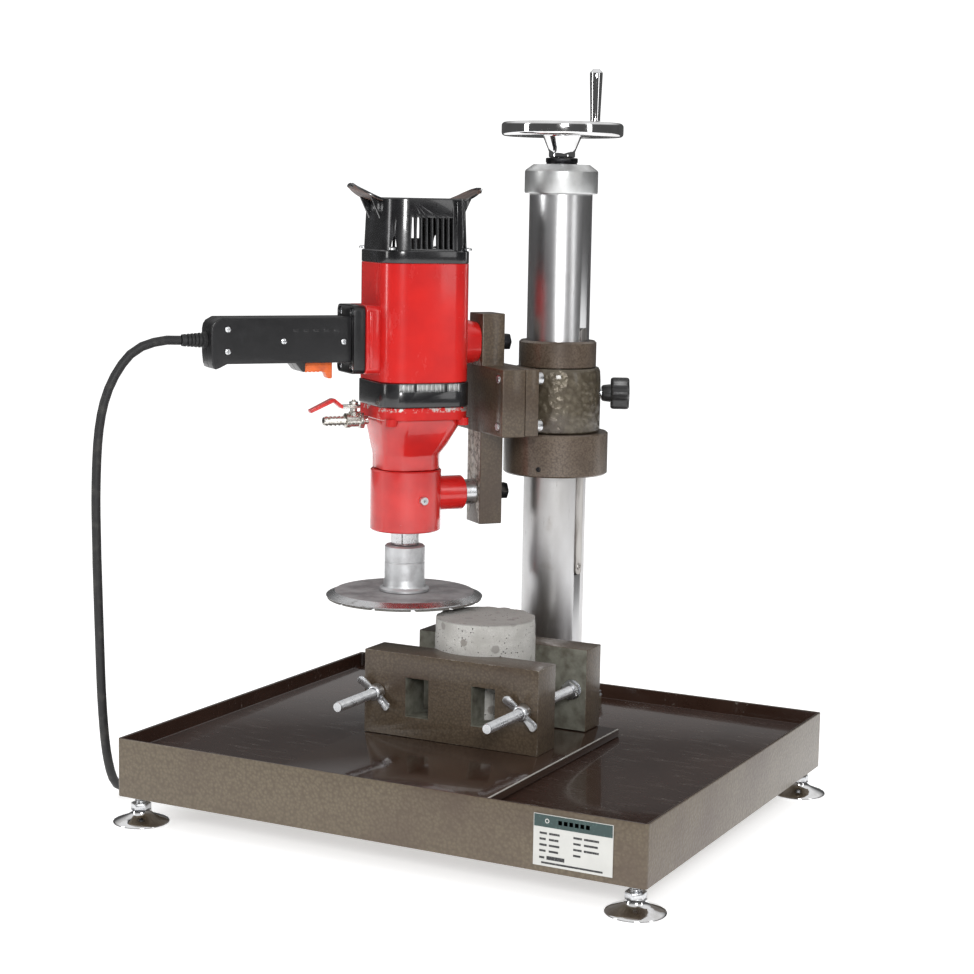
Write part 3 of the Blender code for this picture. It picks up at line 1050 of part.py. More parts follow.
for label, side in (("left", 1), ("right", -1)):
    near, far = sorted((side * GAP / 2, side * GRIP_HALF))
    shell = solid(f"grip_shell_{label}", side_slab(side_view, near, far), BLACK_PLASTIC, arm_frame)
    deep = side * (GRIP_HALF - GRIP_WALL)
    near, far = sorted((-side * CUT_PAST, deep))
    cut(
        shell,
        block((start + GRIP_WALL, near, low + GRIP_WALL), (GRIP_END - GRIP_WALL, far, high - GRIP_WALL)),
        block((TRIGGER_FRONT - 2 * GAP, -TRIGGER_HALF - SLIDE_GAP, low - GUARD_DROP - CUT_PAST),
              (guard, TRIGGER_HALF + SLIDE_GAP, low + GRIP_WALL + OVERLAP)),
        aimed(rod(boot_hole, -CUT_PAST, GRIP_WALL + CUT_PAST, 20),
              (GRIP_END - GRIP_WALL, 0.0, GRIP_MIDDLE), (1.0, 0.0, 0.0)),
    )

trigger_top = low + GRIP_WALL + TRIGGER_RISE
trigger_low = low - TRIGGER_DROP
trigger = side_slab([
    (TRIGGER_FRONT, low - TRIGGER_HOOK), (TRIGGER_FRONT + TRIGGER_HOOK_TIP, low - TRIGGER_HOOK),
    (TRIGGER_FRONT + TRIGGER_HOOK_ROOT, trigger_low), (TRIGGER_BACK, trigger_low),
    (TRIGGER_BACK, trigger_top),
    (TRIGGER_FRONT, trigger_top),
], -TRIGGER_HALF, TRIGGER_HALF)
solid("trigger", trigger, ORANGE_PLASTIC, arm_frame, (TRIGGER_FRONT, 0.0, trigger_low))
solid(
    "switch_block",
    block((TRIGGER_FRONT, -SWITCH_HALF, trigger_top + SWITCH_ROOM),
          (TRIGGER_FRONT + SWITCH_LENGTH, SWITCH_HALF, high - GRIP_WALL - OVERLAP)),
    BLACK_PLASTIC, arm_frame,
)
flange_top = -GRIP_WALL - GAP
boot = turned([(BOOT_FLANGE_RADIUS, flange_top - BOOT_FLANGE), (BOOT_FLANGE_RADIUS, flange_top),
               (BOOT_TIP, flange_top), (BOOT_TIP, GAP), (BOOT_RADIUS, GAP), (BOOT_TIP, BOOT_LENGTH)], 20)
solid("cord_boot", aimed(boot, (GRIP_END, 0.0, GRIP_MIDDLE), (1.0, 0.0, 0.0)), RUBBER, arm_frame,
      (GRIP_END, 0.0, GRIP_MIDDLE))

# ---- water valve on the gearbox ----
valve = [
    (VALVE_PORT, VALVE_START + GAP), (VALVE_PORT, VALVE_START + 4 * OVERLAP),
    (VALVE_RADIUS, VALVE_START + 6 * OVERLAP), (VALVE_RADIUS, VALVE_END - 3 * OVERLAP),
    (BARB_CREST, VALVE_END - 2 * OVERLAP), (VALVE_PORT, VALVE_END + 3 * OVERLAP),
]
for i in range(BARBS + 1):
    ring = VALVE_END + 6 * OVERLAP + i * BARB_PITCH
    valve += [(BARB_ROOT, ring), (BARB_CREST, ring + BARB_EDGE)]
valve.append((BARB_TIP, VALVE_END + BARB_LENGTH))
valve_body = solid("water_valve", aimed(turned(valve, 12), (MOTOR_X, 0.0, VALVE_Z), (1.0, 0.0, 0.0)),
                   BRASS, arm_frame)
pivot = MOTOR_X + LEVER_PIVOT
weld(valve_body, rod(VALVE_POST, VALVE_Z, LEVER_Z - GAP, 16, (pivot, 0.0)))
lever = side_slab([(pivot + x, LEVER_Z + z) for x, z in LEVER_LINE], -LEVER_HALF, LEVER_HALF)
solid("valve_lever", lever, LEVER_RED, arm_frame, (pivot, 0.0, LEVER_Z))

# ---- power lead ----
tube = bpy.data.curves.new("power_cord", "CURVE")
tube.dimensions = "3D"
tube.bevel_depth = CORD_RADIUS
tube.bevel_resolution = 2
tube.use_fill_caps = True
boot_reach = GRIP_END + BOOT_LENGTH + 4 * GAP
boot_x = RIG_X + boot_reach * math.cos(ARM_ANGLE)
boot_y = COLUMN_Y + boot_reach * math.sin(ARM_ANGLE)
route = [(boot_x + x, boot_y + y, z) for x, y, z in LEAD_FROM_BOOT]
route += [(TRAY_LEFT - out, y, z) for out, y, z in LEAD_BESIDE_TRAY]
route += [(TRAY_LEFT - out, TRAY_BACK + behind, z) for out, behind, z in LEAD_TO_COIL]
line = smooth_line(route, 6 * CORD_RADIUS)
spline = tube.splines.new("POLY")
spline.points.add(len(line) - 1)
for point, place in zip(spline.points, line):
    point.co = (*place, 1.0)
tube.materials.append(RUBBER)
cord = bpy.data.objects.new("power_cord", tube)
bpy.context.scene.collection.objects.link(cord)

coil_frame = frame_at("coil_frame", (*COIL_CENTRE, 0.0))
inside, outside = COIL_RADIUS - COIL_HALF_WIDTH, COIL_RADIUS + COIL_HALF_WIDTH
coil = [(outside, GAP), (outside, COIL_HEIGHT), (inside, COIL_HEIGHT), (inside, GAP)]
solid("cord_coil", turned(coil, bored=True), RUBBER, coil_frame)

# the last turn leaves the coil on its back side and runs straight into the plug
plug_y = outside - CORD_RADIUS
leave = math.sqrt(outside ** 2 - (plug_y - PLUG_NECK) ** 2) + OVERLAP
plug = skin([
    [(leave + x, plug_y + y, z) for y, z in ((-wide, GAP), (wide, GAP), (wide, height), (-wide, height))]
    for x, wide, height in PLUG_SECTIONS
])
plug_solid = solid("plug", plug, BLACK_PLASTIC, coil_frame, (leave, plug_y, 0.0))
plug_face = leave + PLUG_SECTIONS[-1][0]
for side in (-1, 1):
    y = plug_y + side * PIN_SPACING / 2
    weld(plug_solid, block((plug_face - 2 * OVERLAP, y - PIN_HALF_WIDTH, PIN_LOW),
                           (plug_face + PIN_LENGTH - 2 * OVERLAP, y + PIN_HALF_WIDTH, PIN_HIGH)))
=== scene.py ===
"""A bench rig that grinds the end of a concrete core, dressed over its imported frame."""

import math

import bmesh
import bpy
from mathutils import Matrix, Vector
from mathutils import noise as grain


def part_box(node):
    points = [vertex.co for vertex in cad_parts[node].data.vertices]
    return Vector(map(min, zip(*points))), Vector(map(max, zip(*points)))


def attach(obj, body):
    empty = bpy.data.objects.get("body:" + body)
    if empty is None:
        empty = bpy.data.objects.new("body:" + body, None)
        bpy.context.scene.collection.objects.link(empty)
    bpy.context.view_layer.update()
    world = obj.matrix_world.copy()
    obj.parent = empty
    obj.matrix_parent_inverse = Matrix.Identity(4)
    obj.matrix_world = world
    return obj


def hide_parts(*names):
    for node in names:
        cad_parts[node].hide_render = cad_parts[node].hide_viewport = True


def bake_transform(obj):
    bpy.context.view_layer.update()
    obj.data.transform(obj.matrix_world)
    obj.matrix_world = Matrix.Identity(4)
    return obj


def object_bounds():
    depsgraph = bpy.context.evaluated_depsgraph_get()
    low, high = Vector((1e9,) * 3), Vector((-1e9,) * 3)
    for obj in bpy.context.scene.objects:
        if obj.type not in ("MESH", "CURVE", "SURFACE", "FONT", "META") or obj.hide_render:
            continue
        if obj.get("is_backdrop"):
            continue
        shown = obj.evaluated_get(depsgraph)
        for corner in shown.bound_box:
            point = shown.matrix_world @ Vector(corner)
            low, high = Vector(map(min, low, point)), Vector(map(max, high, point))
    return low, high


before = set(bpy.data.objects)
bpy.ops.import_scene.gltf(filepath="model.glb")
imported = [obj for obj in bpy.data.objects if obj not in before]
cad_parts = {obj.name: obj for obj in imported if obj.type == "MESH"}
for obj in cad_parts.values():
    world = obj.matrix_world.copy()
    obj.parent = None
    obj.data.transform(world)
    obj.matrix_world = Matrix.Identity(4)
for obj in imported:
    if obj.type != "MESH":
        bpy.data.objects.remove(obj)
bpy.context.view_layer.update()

# ---- Studio: camera, floor and lights ----
# The rig stands on a pale seamless floor. The main soft box hangs beside the camera, a narrow
# one fills from the right, and a tall strip on the left draws long highlights on the metal.
CAMERA_PLACE = (0.9225, -1.7955, 0.5982)
CAMERA_AZIMUTH, CAMERA_RISE, CAMERA_ROLL = (math.radians(a) for a in (27.18, 7.76, 1.03))
CAMERA_LENS = 77.03

back = Vector((
    math.sin(CAMERA_AZIMUTH) * math.cos(CAMERA_RISE),
    -math.cos(CAMERA_AZIMUTH) * math.cos(CAMERA_RISE),
    math.sin(CAMERA_RISE),
))
right = (-back).cross(Vector((0.0, 0.0, 1.0))).normalized()
up = right.cross(-back)
rolled_right = right * math.cos(CAMERA_ROLL) + up * math.sin(CAMERA_ROLL)
rolled_up = up * math.cos(CAMERA_ROLL) - right * math.sin(CAMERA_ROLL)
lens = bpy.data.cameras.new("camera")
lens.sensor_width = 36.0
lens.lens = CAMERA_LENS
lens.clip_start = 0.05
camera = bpy.data.objects.new("camera", lens)
camera.matrix_world = (
    Matrix.Translation(CAMERA_PLACE) @ Matrix((rolled_right, rolled_up, back)).transposed().to_4x4()
)
bpy.context.scene.collection.objects.link(camera)
bpy.context.scene.camera = camera


class Value:
    """A value inside a finish. Sums and products of values add the Math nodes they stand for."""

    def __init__(self, finish, socket):
        self.finish = finish
        self.socket = socket

    def maths(self, operation, *others, clamp=False):
        sockets = dict(enumerate((self, *others)))
        return self.finish.node("ShaderNodeMath", {"operation": operation, "use_clamp": clamp}, sockets)

    def __add__(self, other):
        return self.maths("ADD", other)

    def __sub__(self, other):
        return self.maths("SUBTRACT", other)

    def __mul__(self, other):
        return self.maths("MULTIPLY", other)

    def __truediv__(self, other):
        return self.maths("DIVIDE", other)

    def __rsub__(self, other):
        return self.finish.node("ShaderNodeMath", {"operation": "SUBTRACT"}, {0: other, 1: self})

    __radd__ = __add__
    __rmul__ = __mul__

    def step(self, low, high):
        """Zero below low, one above high, and smooth in between."""
        return self.finish.node(
            "ShaderNodeMapRange", {"interpolation_type": "SMOOTHSTEP"},
            {"Value": self, "From Min": low, "From Max": high},
        )


class Finish:
    """A surface: paint, plating, plastic or stone, with its shader nodes."""

    def __init__(self, name, colour, roughness, metallic=0.0, coat=0.0, coat_roughness=0.08, specular=0.5):
        self.material = bpy.data.materials.new(name)
        self.material.use_nodes = True
        self.tree = self.material.node_tree
        self.shader = self.tree.nodes["Principled BSDF"]
        self.colour = (*colour, 1.0)
        constants = {
            "Base Color": self.colour, "Roughness": roughness, "Metallic": metallic,
            "Coat Weight": coat, "Coat Roughness": coat_roughness, "Specular IOR Level": specular,
        }
        for socket, value in constants.items():
            self.shader.inputs[socket].default_value = value
        self.material.diffuse_color = self.colour
        place = self.tree.nodes.new("ShaderNodeTexCoord")
        self.place = Value(self, place.outputs["Object"])

    def node(self, kind, settings=None, sockets=None, output=0):
        made = self.tree.nodes.new(kind)
        for key, value in (settings or {}).items():
            if key == "stops":
                ramp = made.color_ramp.elements
                while len(ramp) < len(value):
                    ramp.new(0.5)
                for element, (position, colour) in zip(ramp, value):
                    element.position = position
                    element.color = (*colour, 1.0)
            else:
                setattr(made, key, value)
        for key, value in (sockets or {}).items():
            if isinstance(value, Value):
                self.tree.links.new(value.socket, made.inputs[key])
            else:
                made.inputs[key].default_value = value
        return Value(self, made.outputs[output])

    def moved(self, centre=(0.0, 0.0, 0.0), scale=(1.0, 1.0, 1.0), turn=0.0):
        """The place on the piece, counted from its own centre, turned and stretched."""
        shifted = self.node(
            "ShaderNodeVectorMath", {"operation": "SUBTRACT"}, {0: self.place, 1: centre})
        return self.node(
            "ShaderNodeMapping", {}, {"Vector": shifted, "Scale": scale, "Rotation": (0.0, 0.0, turn)})

    def axes(self, place=None):
        """The three numbers of a place, as values."""
        parts = self.tree.nodes.new("ShaderNodeSeparateXYZ")
        self.tree.links.new((place or self.place).socket, parts.inputs[0])
        return [Value(self, parts.outputs[i]) for i in range(3)]

    def noise(self, scale, detail=3.0, stretch=None, roughness=0.5):
        place = self.place if stretch is None else self.moved(scale=stretch)
        return self.node(
            "ShaderNodeTexNoise", {},
            {"Vector": place, "Scale": scale, "Detail": detail, "Roughness": roughness},
        )

    def cells(self, scale, smoothness=0.6):
        return self.node(
            "ShaderNodeTexVoronoi", {"feature": "SMOOTH_F1"},
            {"Vector": self.place, "Scale": scale, "Smoothness": smoothness},
        )

    def mixed(self, mask, low, high):
        """A colour that runs from low to high with the mask."""
        low, high = (c if isinstance(c, Value) else (*c, 1.0) for c in (low, high))
        return self.node(
            "ShaderNodeMix", {"data_type": "RGBA"}, {0: mask, 6: low, 7: high}, output=2)

    def round_axis(self, centre, along=120.0, across=0.0):
        """Noise that goes round an upright axis in fine turned lines."""
        shifted = self.node(
            "ShaderNodeVectorMath", {"operation": "SUBTRACT"}, {0: self.place, 1: (*centre, 0.0)})
        x, y, z = self.axes(shifted)
        radius = (x * x + y * y).maths("SQRT")
        lines = self.node("ShaderNodeCombineXYZ", {}, {0: radius * along, 2: z * along})
        return self.node("ShaderNodeTexNoise", {}, {"Vector": lines, "Scale": 10.0, "Detail": 4.0})

    def set(self, **values):
        """Join values to the shader: colour, roughness, metallic, coat."""
        names = {"colour": "Base Color", "roughness": "Roughness", "metallic": "Metallic",
                 "coat": "Coat Weight"}
        for key, value in values.items():
            self.tree.links.new(value.socket, self.shader.inputs[names[key]])
        return self

    def relief(self, height, distance, strength=1.0):
        """Raise the surface by a height value, given its full depth in metres."""
        bump = self.node(
            "ShaderNodeBump", {}, {"Height": height, "Distance": distance, "Strength": strength})
        self.tree.links.new(bump.socket, self.shader.inputs["Normal"])
        return self


def clouded(name, colour, roughness, metallic=0.0, *, cloud, tones, span=None, dull=None, relief=None, **more):
    """A finish that drifts between two tones on one noise, and dulls with it."""
    finish = Finish(name, colour, roughness, metallic, **more)
    drift = finish.noise(*cloud)
    finish.set(colour=finish.mixed(drift.step(*span) if span else drift, *tones))
    if dull:
        finish.set(roughness=dull[0] + dull[1] * drift)
    if relief:
        noise, depth = relief
        finish.relief(finish.noise(*noise) if noise else drift, *depth)
    return finish


def made(name, shape, finishes, smooth=32.0):
    """Turn a bmesh into an object at the origin, with crisp edges only where it is creased."""
    mesh = bpy.data.meshes.new(name)
    shape.to_mesh(mesh)
    shape.free()
    for finish in finishes if isinstance(finishes, (list, tuple)) else [finishes]:
        mesh.materials.append(finish.material)
    mesh.shade_smooth()
    for face in mesh.polygons:
        face.use_smooth = len(face.vertices) < 5
    mesh.set_sharp_from_angle(angle=math.radians(smooth))
    piece = bpy.data.objects.new(name, mesh)
    bpy.context.scene.collection.objects.link(piece)
    return piece


FLOOR_HALF = 2.4
floor_finish = Finish("studio_floor", (0.88, 0.88, 0.88), 0.9)
floor_tone = floor_finish.noise(1.2)
floor_finish.set(colour=floor_finish.mixed(floor_tone, (0.87, 0.87, 0.87), (0.89, 0.89, 0.89)))
floor_finish.shader.inputs["Emission Color"].default_value = (1.0, 1.0, 1.0, 1.0)
floor_finish.shader.inputs["Emission Strength"].default_value = 0.55
ground = bmesh.new()
bmesh.ops.create_grid(ground, x_segments=1, y_segments=1, size=FLOOR_HALF)
floor = made("studio_floor", ground, floor_finish)
floor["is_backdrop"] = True

world = bpy.data.worlds.new("studio")
world.use_nodes = True
sky = world.node_tree
wall, screen = sky.nodes["Background"], sky.nodes["World Output"]
room, bearing, direction, height, shade, camera_sees, either = (
    sky.nodes.new(f"ShaderNode{kind}") for kind in (
        "Background", "SeparateXYZ", "TexCoord", "MapRange", "ValToRGB", "LightPath", "MixShader"))
wall.inputs["Color"].default_value = (1.0, 1.0, 1.0, 1.0)
wall.inputs["Strength"].default_value = 1.15
room.inputs["Strength"].default_value = 0.85
height.inputs["From Min"].default_value = -1.0
for stop, position, tone in zip(shade.color_ramp.elements, (0.64, 0.8), (0.1, 1.0)):
    stop.position = position
    stop.color = (tone, tone, tone, 1.0)
for source, output, target, socket in (
    (direction, "Generated", bearing, 0), (bearing, 2, height, "Value"), (height, 0, shade, 0),
    (shade, "Color", room, "Color"), (camera_sees, "Is Camera Ray", either, 0), (room, 0, either, 1),
    (wall, 0, either, 2), (either, 0, screen, "Surface"),
):
    sky.links.new(source.outputs[output], target.inputs[socket])
bpy.context.scene.world = world
bpy.context.scene.view_settings.view_transform = "Standard"


def soft_box(name, place, target, width, height, power):
    light = bpy.data.lights.new(name, "AREA")
    light.shape = "RECTANGLE"
    light.size, light.size_y = width, height
    light.energy = power
    lamp = bpy.data.objects.new(name, light)
    aim = (Vector(target) - Vector(place)).to_track_quat("-Z", "Y")
    lamp.matrix_world = Matrix.Translation(place) @ aim.to_matrix().to_4x4()
    bpy.context.scene.collection.objects.link(lamp)


soft_box("key_light", (1.35, -2.2, 1.2), (0.0, 0.0, 0.3), 0.55, 0.55, 36.0)
soft_box("fill_light", (2.4, -0.4, 1.1), (0.0, 0.0, 0.3), 0.4, 1.5, 5.0)
soft_box("strip_light", (-1.9, -1.7, 1.0), (0.0, 0.0, 0.5), 0.4, 1.5, 12.0)

# ---- Power lead ----
# A 9 mm rubber mains lead, moulded into the grip's tapered boot. It hangs beside the tray,
# runs along the floor and is put away in a three-turn coil behind it, with its plug beside it.
CORD_RADIUS = 0.0045
CORD_SPACING = 0.012
COIL_CENTRE = (-0.19, 0.306)
COIL_INNER, COIL_OUTER = 0.045, 0.0542
COIL_LAYERS = (0.005, 0.0142)
PLUG_START = Vector((-0.156, 0.3602, 0.0116))
HANGING_ROUTE = [
    (-0.2587, -0.1473, 0.462), (-0.2725, -0.1644, 0.4612), (-0.289, -0.1838, 0.45),
    (-0.302, -0.2, 0.42), (-0.309, -0.208, 0.38), (-0.312, -0.21, 0.32),
    (-0.313, -0.208, 0.25),
]
LYING_ROUTE = [
    (-0.313, -0.208, 0.25), (-0.314, -0.204, 0.18), (-0.316, -0.198, 0.11),
    (-0.32, -0.186, 0.055), (-0.327, -0.164, 0.019), (-0.336, -0.13, 0.006),
    (-0.343, -0.08, 0.005), (-0.344, -0.01, 0.005), (-0.342, 0.07, 0.005),
    (-0.344, 0.15, 0.005), (-0.346, 0.22, 0.005), (-0.342, 0.28, 0.005),
    (-0.322, 0.328, 0.005), (-0.286, 0.354, 0.005), (-0.248, 0.3602, 0.005),
    (-0.2226, 0.3602, 0.005),
]


def ease(value, start, end):
    share = min(max((value - start) / (end - start), 0.0), 1.0)
    return share * share * (3 - 2 * share)


def polar(centre, radius, angle):
    return centre[0] + radius * math.cos(angle), centre[1] + radius * math.sin(angle)


def coil_turns():
    """Once round outside, once round inside, up a layer, round inside again and out to the plug."""
    turns = []
    for wound in range(0, 1081, 15):
        inward = ease(wound, 270, 340) - ease(wound, 840, 900)
        climb = ease(wound, 560, 630)
        radius = COIL_OUTER + (COIL_INNER - COIL_OUTER) * inward
        angle = math.radians(90 - wound)
        turns.append((*polar(COIL_CENTRE, radius, angle), COIL_LAYERS[0] + (COIL_LAYERS[1] - COIL_LAYERS[0]) * climb))
    return turns


def flowing(route, spacing):
    """Evenly spaced points on a smooth curve through the route's points."""
    knots = [Vector(p) for p in route]
    knots = [2 * knots[0] - knots[1]] + knots + [2 * knots[-1] - knots[-2]]
    fine = []
    for a, b, c, d in zip(knots, knots[1:], knots[2:], knots[3:]):
        for i in range(20):
            t = i / 20
            fine.append(0.5 * (2 * b + (c - a) * t + (2 * a - 5 * b + 4 * c - d) * t * t
                               + (3 * b - a - 3 * c + d) * t ** 3))
    fine.append(knots[-2])
    kept = [fine[0]]
    for point in fine[1:-1]:
        if (point - kept[-1]).length >= spacing:
            kept.append(point)
    if (fine[-1] - kept[-1]).length < 0.5 * spacing:
        kept.pop()
    return kept + [fine[-1]]


def tube(name, path, radius, finish, sides=4):
    """A round tube on a path, made as a bevelled curve and turned into a mesh."""
    curve = bpy.data.curves.new(name, "CURVE")
    curve.dimensions = "3D"
    curve.bevel_depth = radius
    curve.bevel_resolution = sides
    curve.use_fill_caps = True
    spline = curve.splines.new("POLY")
    spline.points.add(len(path) - 1)
    for point, place in zip(spline.points, path):
        point.co = (*place, 1.0)
    line = bpy.data.objects.new(name, curve)
    bpy.context.scene.collection.objects.link(line)
    mesh = bpy.data.meshes.new_from_object(line.evaluated_get(bpy.context.evaluated_depsgraph_get()))
    shape = bmesh.new()
    shape.from_mesh(mesh)
    bmesh.ops.remove_doubles(shape, verts=shape.verts, dist=1e-6)
    bmesh.ops.recalc_face_normals(shape, faces=shape.faces)
    bpy.data.objects.remove(line)
    bpy.data.meshes.remove(mesh)
    return made(name, shape, finish, 60.0)


def path_length(path):
    return sum((b - a).length for a, b in zip(path, path[1:]))


rubber = clouded(
    "lead_rubber", (0.018, 0.018, 0.019), 0.55, specular=0.4, cloud=(90.0, 4.0), span=(0.45, 0.8),
    tones=((0.014, 0.014, 0.015), (0.045, 0.043, 0.04)), dull=(0.42, 0.3), relief=((700.0,), (0.00008,)))

hanging_path = flowing(HANGING_ROUTE, CORD_SPACING)
lying_path = flowing(LYING_ROUTE + coil_turns() + [(-0.174, 0.3602, 0.0134), tuple(PLUG_START)], CORD_SPACING)
hanging_cord = tube("power_lead_hanging", hanging_path, CORD_RADIUS, rubber)
lying_cord = tube("power_lead_lying", lying_path, CORD_RADIUS, rubber)

plastic_black = Finish("moulded_black", (0.016, 0.016, 0.017), 0.34, coat=0.15, coat_roughness=0.25)
black_cloud = plastic_black.noise(60.0, 4.0)
plastic_black.set(
    colour=plastic_black.mixed(black_cloud, (0.011, 0.011, 0.012), (0.026, 0.025, 0.025)),
    roughness=0.24 + 0.22 * black_cloud + 0.08 * plastic_black.noise(900.0, 2.0),
)
plastic_black.relief(plastic_black.noise(1500.0, 2.0), 0.00006)

zinc = clouded(
    "bright_zinc", (0.64, 0.66, 0.69), 0.24, 1.0, cloud=(120.0, 5.0),
    tones=((0.52, 0.54, 0.58), (0.78, 0.78, 0.77)), dull=(0.16, 0.26), relief=((500.0,), (0.00004,)))

EDGE = math.radians(28)


def shifted(shape, by):
    bmesh.ops.translate(shape, verts=shape.verts, vec=by)
    return shape


def rounded(shape, width, segments, only, **more):
    """Round off the edges that a test picks."""
    picked = [e for e in shape.edges if only(e)]
    bmesh.ops.bevel(shape, geom=picked, offset=width, segments=segments, profile=0.5, affect="EDGES",
                    material=-1, **more)
    return shape


def runs(edge, axis, least=0.01):
    """Whether an edge goes along an axis, at least so far."""
    return abs(edge.verts[0].co[axis] - edge.verts[1].co[axis]) > least


def soften(shape, width, segments=2, only=None):
    """Round off every crease of a shape, or only those that a test picks."""
    creased = [
        e for e in shape.edges
        if len(e.link_faces) == 2 and e.calc_face_angle(0.0) > EDGE and (only is None or only(e))
    ]
    if creased:
        bmesh.ops.bevel(shape, geom=creased, offset=width, offset_type="OFFSET", segments=segments,
                        profile=0.5, affect="EDGES", material=-1, clamp_overlap=True)
    return shape


def block(low, high, width=0.0, segments=2):
    """A block between two corners, with its edges rounded off."""
    shape = bmesh.new()
    bmesh.ops.create_cube(shape, size=1.0)
    size = [b - a for a, b in zip(low, high)]
    middle = [(a + b) / 2 for a, b in zip(low, high)]
    bmesh.ops.transform(shape, verts=shape.verts,
                        matrix=Matrix.Translation(middle) @ Matrix.Diagonal((*size, 1.0)))
    return soften(shape, width, segments) if width else shape


def joined(*shapes, finish=None):
    """Put separate shapes in one mesh, with nothing welded. finish is their material's number."""
    whole = bmesh.new()
    for number, shape in enumerate(shapes):
        if finish is not None and finish[number] is not None:
            for face in shape.faces:
                face.material_index = finish[number]
        mesh = bpy.data.meshes.new("part")
        shape.to_mesh(mesh)
        shape.free()
        whole.from_mesh(mesh)
        bpy.data.meshes.remove(mesh)
    return whole


plug_body = block((0.004, -0.0175, -0.0108), (0.046, 0.0175, 0.0118), 0.005, 4)
for vertex in plug_body.verts:
    narrow = 1.0 - 0.62 * ease(-vertex.co.x, -0.026, -0.004)
    vertex.co.y *= narrow
    vertex.co.z = vertex.co.z * (1.0 - 0.42 * ease(-vertex.co.x, -0.022, -0.004))
plug_ribs = [block((0.01 + 0.0035 * i, -0.0085, -0.0075), (0.0115 + 0.0035 * i, 0.0085, 0.0085), 0.0006)
             for i in range(3)]
plug_blades = [block((0.046, y - 0.0031, -0.0008), (0.0655, y + 0.0031, 0.0008), 0.0005) for y in (-0.0063, 0.0063)]
plug_shape = joined(plug_body, *plug_ribs, *plug_blades, finish=[0] * 4 + [1] * 2)
shifted(plug_shape, PLUG_START - Vector((0.0045, 0.0, 0.0)))
plug = made("mains_plug", plug_shape, [plastic_black, zinc])
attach(plug, "frame")
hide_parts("plug")

round(path_length(hanging_path), 3)
round(path_length(lying_path), 3)
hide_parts("power_cord")
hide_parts("cord_coil")
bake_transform(hanging_cord)
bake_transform(lying_cord)

# ---- Tray ----
# An open tray folded from 3 mm sheet and welded at its corners, with a floor sheet set in it
# and a square gusset under each corner for a foot. It is sprayed in a hammered brown enamel.
hammered = Finish("hammered_enamel", (0.12, 0.088, 0.062), 0.34, 0.25, coat=0.35, coat_roughness=0.16)
hammered_cells = hammered.cells(330.0)
hammered_cloud = hammered.noise(9.0, 5.0)
hammered_speck = hammered.noise(650.0, 3.0)
hammered_base = hammered.mixed(
    (hammered_cells * 0.9 + 0.35 * hammered_speck).step(0.2, 0.95), (0.135, 0.106, 0.068), (0.094, 0.07, 0.044))
hammered.set(
    colour=hammered.mixed(hammered_cloud.step(0.42, 0.78), hammered_base, (0.076, 0.05, 0.034)),
    roughness=0.24 + 0.24 * hammered_speck + 0.1 * hammered_cloud,
)
hammered.relief(hammered_cells + 0.3 * hammered_speck, 0.00045, 0.7)

gloss_brown = Finish("gloss_brown_enamel", (0.032, 0.016, 0.011), 0.16, coat=0.5, coat_roughness=0.05)
gloss_cloud = gloss_brown.noise(7.0, 6.0)
gloss_dust = gloss_brown.noise(260.0, 5.0)
gloss_scuff = gloss_brown.noise(30.0, 7.0, stretch=(1.0, 4.0, 1.0))
gloss_base = gloss_brown.mixed(gloss_cloud.step(0.3, 0.75), (0.026, 0.012, 0.008), (0.046, 0.024, 0.017))
gloss_brown.set(
    colour=gloss_brown.mixed(gloss_dust.step(0.62, 0.74) * gloss_scuff.step(0.5, 0.7), gloss_base,
                             (0.2, 0.18, 0.16)),
    roughness=0.1 + 0.16 * gloss_cloud + 0.22 * gloss_scuff.step(0.5, 0.75),
)
gloss_brown.relief(gloss_brown.noise(45.0, 2.0), 0.0003, 0.35)


def solid(shape):
    """A shape as an object of its own, for a boolean to work on."""
    mesh = bpy.data.meshes.new("solid")
    shape.to_mesh(mesh)
    shape.free()
    thing = bpy.data.objects.new("solid", mesh)
    bpy.context.scene.collection.objects.link(thing)
    return thing


def carved(shape, *tools, operation="DIFFERENCE"):
    """Cut tools out of a shape, or weld them to it, and return the shape that is left."""
    body = solid(shape)
    cutters = []
    for tool in tools:
        bmesh.ops.recalc_face_normals(tool, faces=tool.faces)
        cutters.append(solid(tool))
        cut = body.modifiers.new("cut", "BOOLEAN")
        cut.operation, cut.solver, cut.object = operation, "EXACT", cutters[-1]
    result = bpy.data.meshes.new_from_object(body.evaluated_get(bpy.context.evaluated_depsgraph_get()))
    left = bmesh.new()
    left.from_mesh(result)
    bpy.data.meshes.remove(result)
    for thing in (body, *cutters):
        bpy.data.objects.remove(thing)
    bmesh.ops.remove_doubles(left, verts=left.verts, dist=2e-6)
    bmesh.ops.dissolve_limit(left, angle_limit=math.radians(0.5), verts=left.verts, edges=left.edges)
    return left


def turned(profile, centre=(0.0, 0.0), steps=96, closed=False):
    """Turn (radius, height) pairs round an upright axis. A closed profile makes a ring or a tube."""
    shape = bmesh.new()
    line = [shape.verts.new((centre[0] + radius, centre[1], z)) for radius, z in profile]
    pairs = list(zip(line, line[1:])) + ([(line[-1], line[0])] if closed else [])
    edges = [shape.edges.new(pair) for pair in pairs]
    bmesh.ops.spin(shape, geom=line + edges, cent=(*centre, 0.0), axis=(0.0, 0.0, 1.0), dvec=(0.0, 0.0, 0.0),
                   angle=2 * math.pi, steps=steps, use_merge=True, use_duplicate=False)
    bmesh.ops.remove_doubles(shape, verts=shape.verts, dist=1e-7)
    bmesh.ops.recalc_face_normals(shape, faces=shape.faces)
    return shape


def extruded(shape, by):
    """Draw every face of a flat shape out along a vector."""
    moved = bmesh.ops.extrude_face_region(shape, geom=shape.faces[:])["geom"]
    bmesh.ops.translate(shape, verts=[v for v in moved if isinstance(v, bmesh.types.BMVert)], vec=by)
    bmesh.ops.recalc_face_normals(shape, faces=shape.faces)
    return shape


